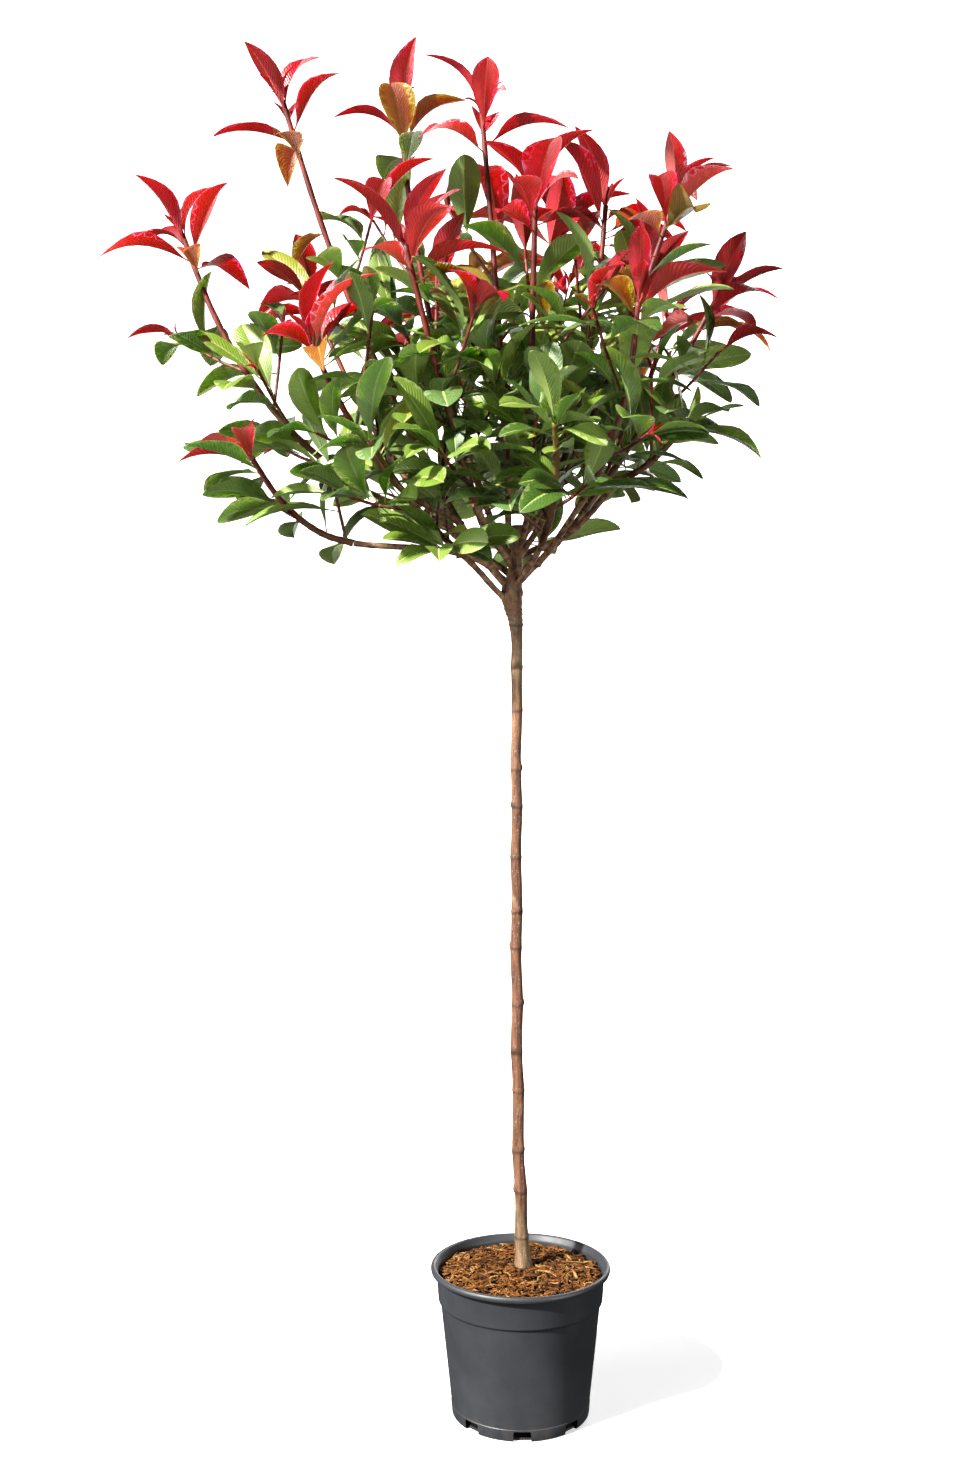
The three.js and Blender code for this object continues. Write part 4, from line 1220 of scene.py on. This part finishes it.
def bough_material(name):
    """Young wood of the boughs: red-brown with paler grey-tan streaks and pores, its tones raised
    above the wood's own as painted light that makes up for the crown's shade on the fork.
    """
    nodes = Nodes(name)
    streaks = nodes.noise(120, 5.0)
    # Tones partly the wood's own and partly painted light for the shade the crown casts on the boughs.
    tones = [(0.34, (0.1, 0.043, 0.02)), (0.5, (0.26, 0.125, 0.06)), (0.68, (0.46, 0.28, 0.15))]
    nodes.feed(Base_Color=nodes.ramp(streaks, tones))
    nodes.feed(Roughness=nodes.spread(streaks, 0.55, 0.8))
    nodes.bump(nodes.noise(520, 5.0), 0.0008, 0.8)
    return nodes.material


KNOT_SPACING = 34.0


def make_boughs():
    """Each bough on a grid along its curve and round it, with knots, an uneven surface and a flare
    2.2 exp(-l / 9) at its root, l millimetres along."""
    rings, around = 40, 16
    u = np.linspace(0, 1, rings)
    turns = round_steps(around)
    uu, aa = np.meshgrid(u, turns, indexing="ij")
    bodies = []
    for k, name in enumerate(BOUGHS):
        path = bezier(CURVES[name], u)
        length = uu * np.linalg.norm(np.diff(path, axis=0), axis=1).sum()
        knots = hump(np.mod(length, KNOT_SPACING) - KNOT_SPACING / 2, 2.2)
        relief = 0.22 * ripples(aa, length * 3, 40 + k) + 0.4 * knots
        flare = 2.2 * np.exp(-length / 9)
        body = tube(path, bough_radius(name, u), around)
        outward = body - path[:, None]
        outward /= np.linalg.norm(outward, axis=2, keepdims=True)
        bodies.append(body + outward * (relief + flare)[..., None])
    faces = loft_faces(len(bodies), rings, around)
    piece = mesh_piece("boughs", np.array(bodies) * MM, faces, [bough_material("bough_bark")])
    return dress(piece, "twig_bark", *["bough_" + name for name in BOUGHS])


def plastic_material():
    """Moulded charcoal plastic: satin, with faint haze, dust at the foot and fine scuffs."""
    nodes = Nodes("pot_plastic")
    colour = nodes.ramp(nodes.noise(14, 4.0), [(0.35, (0.026, 0.028, 0.032)), (0.7, (0.038, 0.041, 0.047))])
    height = nodes.axes("Object")[2]
    low = nodes.spread(height, 0.35, 0.0, 0.0, 0.03)
    dust = nodes.maths("MULTIPLY", low, nodes.spread(nodes.noise(60, 6.0), 0.0, 1.0, 0.45, 0.7))
    nodes.feed(Base_Color=nodes.mix(dust, colour, (0.12, 0.1, 0.08)))
    body = nodes.spread(nodes.noise(30, 6.0, (1, 1, 0.3)), 0.36, 0.5)
    rim = nodes.spread(height, 1.0, 1.12, 0.185, 0.188)
    nodes.feed(Roughness=nodes.maths("MULTIPLY", body, rim))
    nodes.bump(nodes.noise(900, 2.0), 0.00025, 0.35)
    return nodes.material


def rounded(profile, radius, steps=4):
    """A profile of (r, z) corners with each inner corner eased by a quadratic curve whose legs are
    radius long, or less where a side is short."""
    profile = [np.array(p, float) for p in profile]
    points = [profile[0]]
    for before, corner, after in zip(profile, profile[1:], profile[2:]):
        back, on = before - corner, after - corner
        leg = min(radius, 0.45 * np.linalg.norm(back), 0.45 * np.linalg.norm(on))
        a, b = corner + unit(back) * leg, corner + unit(on) * leg
        points += list(bezier([a, corner, b], np.linspace(0, 1, steps)))
    return np.array(points + [profile[-1]])


def make_pot():
    """The pot turned round Z from a rounded profile, with notches cut through its foot."""
    profile = rounded([
        (0.01, 0.0),
        (FOOT_RADIUS - 3, 0.0),
        (FOOT_RADIUS, 1.2),
        (FOOT_RADIUS + 1.2, 15.4),
        (FOOT_RADIUS + 0.6, 16.0),
        (WALL_TOP_RADIUS, COLLAR_FOOT_Z - 2.5),
        (COLLAR_FOOT_RADIUS, COLLAR_FOOT_Z),
        (COLLAR_TOP_RADIUS, POT_HEIGHT - RIM_HEIGHT - 0.8),
        (RIM_RADIUS - 1, POT_HEIGHT - RIM_HEIGHT),
        (RIM_RADIUS, POT_HEIGHT - RIM_HEIGHT * 0.45),
        (RIM_RADIUS - 2, POT_HEIGHT),
        (RIM_RADIUS - 6, POT_HEIGHT - 0.5),
        (COLLAR_TOP_RADIUS - WALL, POT_HEIGHT - RIM_HEIGHT),
        (COLLAR_FOOT_RADIUS - WALL, COLLAR_FOOT_Z),
        (WALL_TOP_RADIUS - WALL, COLLAR_FOOT_Z - 3),
        (FOOT_RADIUS - WALL, FLOOR),
        (0.01, FLOOR),
    ], 1.6)
    around = 192
    points = turned(*profile.T, around)
    body = mesh_piece("pot_body", points * MM, loft_faces(1, len(profile), around), [])
    cutters = []
    for k in range(NOTCH_COUNT):
        turn = 2 * math.pi * k / NOTCH_COUNT - math.pi / 2
        out = np.array([math.cos(turn), math.sin(turn), 0])
        side = np.array([-math.sin(turn), math.cos(turn), 0])
        half, top, below = NOTCH_WIDTH / 2, NOTCH_HEIGHT, -5.0
        shape = rounded([(-half, below), (-half, top), (half, top), (half, below)], NOTCH_EASE, 6)
        across = shape[:, :1] * side + shape[:, 1:] * UP
        cutters.append([(FOOT_RADIUS + depth) * out + across for depth in (NOTCH_DEPTH, -NOTCH_DEPTH)])
    count, around_notch = len(cutters), len(shape)
    cutter = mesh_piece("notches", np.array(cutters) * MM, loft_faces(count, 2, around_notch), [])
    cut = body.modifiers.new("cut", "BOOLEAN")
    cut.object = cutter
    cut.operation = "DIFFERENCE"
    cut.solver = "EXACT"
    graph = bpy.context.evaluated_depsgraph_get()
    mesh = bpy.data.meshes.new_from_object(body.evaluated_get(graph))
    for helper in (cutter, body):
        bpy.data.objects.remove(helper)
    mesh.materials.clear()
    mesh.materials.append(plastic_material())
    mesh.polygons.foreach_set("use_smooth", np.full(len(mesh.polygons), True))
    mesh.set_sharp_from_angle(angle=math.radians(38))
    return dress(put("nursery_pot", mesh), "pot_plastic", "pot")


def mulch_material(name, dark, light):
    """Shredded bark: fibrous streaks of two tones, matt and rough."""
    nodes = Nodes(name)
    nodes.feed(Base_Color=nodes.ramp(nodes.noise(220, 6.0), [(0.38, dark), (0.66, light)]))
    nodes.feed(Roughness=0.9, Specular_IOR_Level=0.15)
    nodes.bump(nodes.noise(900, 4.0), 0.0008, 0.9)
    return nodes.material


def mulch_top(r):
    """Height of the mulch at radius r: MULCH_Z in the middle, lower towards the wall by
    MULCH_EDGE_DROP (r / MULCH_RADIUS)^2.2."""
    return MULCH_Z - MULCH_EDGE_DROP * np.clip(r / MULCH_RADIUS, 0, 1) ** 2.2


# The bed of mulch: how far it lies below the loose strips, its lumps' height, the waves that make
# them up as (factor of x, factor of y, phase), and its wall's (radius, height) down to the notches.
BED_BELOW = 3.2
LUMP_HEIGHT = 0.7
LUMP_WAVES = ((0.31, 0.17, 1), (-0.19, 0.33, 2), (0.43, -0.29, 4), (0.11, 0.51, 5))
BED_RADIUS = 108.5
BED_WALL = ((107.0, 150.5), (103.6, 148.6), (90.0, 16.0))
NOTCH_ROOF = 0.6

# Loose strips of bark: dark tone, light tone and number of each kind, then their sizes and places
# in millimetres and radians, as (least, most), and the corners of their section.
BARK_KINDS = {
    "rust": ((0.075, 0.025, 0.005), (0.25, 0.095, 0.019), 900),
    "tan": ((0.17, 0.074, 0.018), (0.46, 0.245, 0.083), 300),
    "dark": ((0.022, 0.008, 0.003), (0.095, 0.036, 0.011), 650),
}
STRIP_SEED = 21
STRIP_RINGS = 6
STRIPS_WITHIN = 106.0
STRIP_REACH = 107.0
STRIP_LONG = (9, 36)
STRIP_WIDE = (0.7, 2.3)
STRIP_FLAT = (0.3, 0.6)
STRIP_BEND = (-0.9, 0.9)
STRIP_TILT = (-0.26, 0.26)
STRIP_LIFT = (-3.2, 1.6)
STRIP_HUMP = (-1.0, 2.4)
STRIP_POINTED = 0.85
STRIP_SECTION = ((1, 0), (0.4, 1), (-0.4, 1), (-1, 0), (-0.4, -1), (0.4, -1))
STEM_CLEAR = 13.0


def make_bed():
    """A lumpy bed of dark compost that fills the pot down to its floor, darkened past the compost's
    own colour as painted shade for the deep gaps between the loose strips.
    """
    rings, around = 60, 120
    inner = FOOT_RADIUS - NOTCH_DEPTH - 1
    r = np.linspace(0.2, BED_RADIUS, rings)
    top = turned(r, mulch_top(r) - BED_BELOW, around)
    x, y = top[..., 0], top[..., 1]
    lumps = sum(np.sin(x * a + y * b + c) for a, b, c in LUMP_WAVES)
    top[..., 2] += LUMP_HEIGHT * lumps * (r < STRIPS_WITHIN)[:, None]
    wall = turned(*zip(*BED_WALL, (inner, NOTCH_HEIGHT + NOTCH_ROOF)), around)
    foot = turned([inner, 0.2], [FLOOR + GAP] * 2, around)
    rows = np.concatenate([top, wall, foot])[::-1]
    # Near black: the compost's own dark colour, darkened further as painted shade for the gaps between
    # strips.
    compost_and_gap_shade = mulch_material("compost", (0.004, 0.0018, 0.001), (0.022, 0.009, 0.0035))
    bed = mesh_piece("mulch_bed", rows * MM, loft_faces(1, len(rows), around), [compost_and_gap_shade])
    dress(bed, "bark_mulch", "mulch")


def strip_bodies(count, chance):
    """Strips along u from -1/2 to 1/2: long u along a heading that bends by 2 bend u, over the bed
    by lift + tilt long u + hump (1 - 4 u^2), narrowed by sqrt(1 - STRIP_POINTED 4 u^2)."""
    radius = STRIPS_WITHIN * np.sqrt(chance.random(count))
    turn = chance.random(count) * 2 * np.pi
    heading = chance.random(count) * 2 * np.pi
    long, wide = (chance.uniform(*span, count)[:, None] for span in (STRIP_LONG, STRIP_WIDE))
    thick = wide * chance.uniform(*STRIP_FLAT, count)[:, None]
    spans = (STRIP_BEND, STRIP_TILT, STRIP_LIFT, STRIP_HUMP)
    bend, tilt, lift, hump_up = (chance.uniform(*span, count)[:, None] for span in spans)
    u = np.linspace(-0.5, 0.5, STRIP_RINGS)[None]
    away = heading[:, None] + bend * u * 2
    x = (radius * np.cos(turn))[:, None] + long * u * np.cos(away)
    y = (radius * np.sin(turn))[:, None] + long * u * np.sin(away)
    keep = np.minimum(1, STRIP_REACH / np.maximum(np.hypot(x, y), 1e-6))
    x, y = x * keep, y * keep
    z = mulch_top(np.hypot(x, y)) + lift + tilt * long * u + hump_up * (1 - 4 * u**2)
    near_stem = np.hypot(x - STEM[0][0], y - STEM[0][1]) < STEM_CLEAR
    z = np.where(near_stem, np.minimum(z, MULCH_Z - 1.5), z)
    slim = np.sqrt(np.clip(1 - (2 * u) ** 2 * STRIP_POINTED, 0, 1))
    corners = []
    for a, b in STRIP_SECTION:
        w, h = a * wide * slim, b * thick * slim
        corners.append(np.stack([x - np.sin(away) * w, y + np.cos(away) * w, z + h], -1))
    return np.stack(corners, 2)


def make_mulch():
    """The bed, with loose strips of bark lying on it every way."""
    make_bed()
    chance = np.random.default_rng(STRIP_SEED)
    for name, (dark, light, count) in BARK_KINDS.items():
        points = strip_bodies(count, chance) * MM
        faces = loft_faces(count, STRIP_RINGS, len(STRIP_SECTION))
        material = mulch_material("bark_" + name, dark, light)
        dress(mesh_piece("bark_strips_" + name, points, faces, [material]), "bark_mulch")


# The stage and the camera, in metres.
CAMERA_AT = (-0.050, -1.918, 0.903)
PHOTO_FOCAL_PX = 1435
PHOTO_HEIGHT_PX = 1467
SENSOR_MM = 36.0
SUN_HEADING = (0.95, 0.78, -1.0)
SUN_STRENGTH = 11.3
SUN_COLOUR = (1.0, 0.97, 0.92)
SUN_WIDTH = math.radians(3)
SKY_COLOUR = (0.97, 0.98, 1, 1)
SKY_STRENGTH = 0.035
FLOOR_FLAT = 7.0
FLOOR_BEND = 1.6
STUDIO_WALL_TOP = 9.0
# The floor's glow near the pot and far away, and the distances between which it grows.
FLOOR_GLOW = (0.56, 1.0, 0.45, 1.8)
# Area lights: place, the point they face, size and power.
AREA_LIGHTS = {
    "softbox": ((-2.9, -1.5, 1.5), (0, 0, 1.0), 2.2, 95),
    "back_fill": ((1.2, 3.0, 1.4), (0, 0, 0.8), 2.2, 80),
    "low_fill": ((1.5, -1.3, 0.4), (0, 0, 0.08), 0.7, 19),
}


def area_light(name, place, aim, size, power):
    """A square area light that faces a point."""
    light = bpy.data.lights.new(name, "AREA")
    light.size = size
    light.energy = power
    lamp = put(name, light)
    lamp.location = place
    lamp.rotation_euler = (Vector(aim) - Vector(place)).to_track_quat("-Z", "Y").to_euler()


def make_stage():
    """A pale round floor that curves up into a wall, which neither shades nor lights the plant. It
    glows less near the pot, where shadows lie. A sun and a softbox stand to the left, with weak
    fills behind the plant and low down to the right."""
    around = 96
    turns = np.linspace(0, np.pi / 2, 16)
    edge = FLOOR_FLAT + FLOOR_BEND
    r = np.concatenate([[0.01, 0.4, 1.2, 3.0], FLOOR_FLAT + FLOOR_BEND * np.sin(turns), [edge]])
    z = np.concatenate([[0.0] * 4, FLOOR_BEND * (1 - np.cos(turns)), [STUDIO_WALL_TOP]])
    nodes = Nodes("studio_floor")
    nodes.feed(Base_Color=(0.86, 0.86, 0.86, 1), Emission_Color=(1, 1, 1, 1))
    nodes.feed(Roughness=nodes.spread(nodes.noise(3, 2.0), 0.84, 0.9))
    away = nodes.step("VectorMath", {0: nodes.coords.outputs["Object"]}, operation="LENGTH")
    nodes.feed(Emission_Strength=nodes.spread(away.outputs["Value"], *FLOOR_GLOW))
    faces = side_quads(len(r), around)[:, ::-1]
    floor = mesh_piece("studio_floor", turned(r, z, around), faces, [nodes.material])
    floor.visible_diffuse = False
    floor.visible_glossy = False
    floor.visible_shadow = False

    world = bpy.data.worlds.new("studio")
    world.use_nodes = True
    sky = world.node_tree.nodes["Background"].inputs
    sky["Color"].default_value = SKY_COLOUR
    sky["Strength"].default_value = SKY_STRENGTH
    bpy.context.scene.world = world

    sun = bpy.data.lights.new("key_sun", "SUN")
    sun.energy = SUN_STRENGTH
    sun.angle = SUN_WIDTH
    sun.color = SUN_COLOUR
    put("key_sun", sun).rotation_euler = Vector(SUN_HEADING).to_track_quat("-Z", "Y").to_euler()
    for name, light in AREA_LIGHTS.items():
        area_light(name, *light)


def make_camera():
    """A level camera at the photo's place, with the photo's focal length."""
    data = bpy.data.cameras.new("camera")
    data.sensor_width = SENSOR_MM
    data.lens = SENSOR_MM * PHOTO_FOCAL_PX / PHOTO_HEIGHT_PX
    data.clip_start = 0.05
    data.clip_end = 60
    camera = put("camera", data)
    camera.location = CAMERA_AT
    camera.rotation_euler = (math.pi / 2, 0, 0)
    bpy.context.scene.camera = camera
    bpy.context.scene.view_settings.view_transform = "Standard"


def main():
    """Makes every piece, the stage and the camera."""
    make_camera()
    make_stage()
    crown = grow_crown()
    make_twigs(crown)
    leaves = make_leaves(crown)
    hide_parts(*["foliage_" + name for name in MASSES])
    make_stem()
    make_boughs()
    make_pot()
    make_mulch()


main()
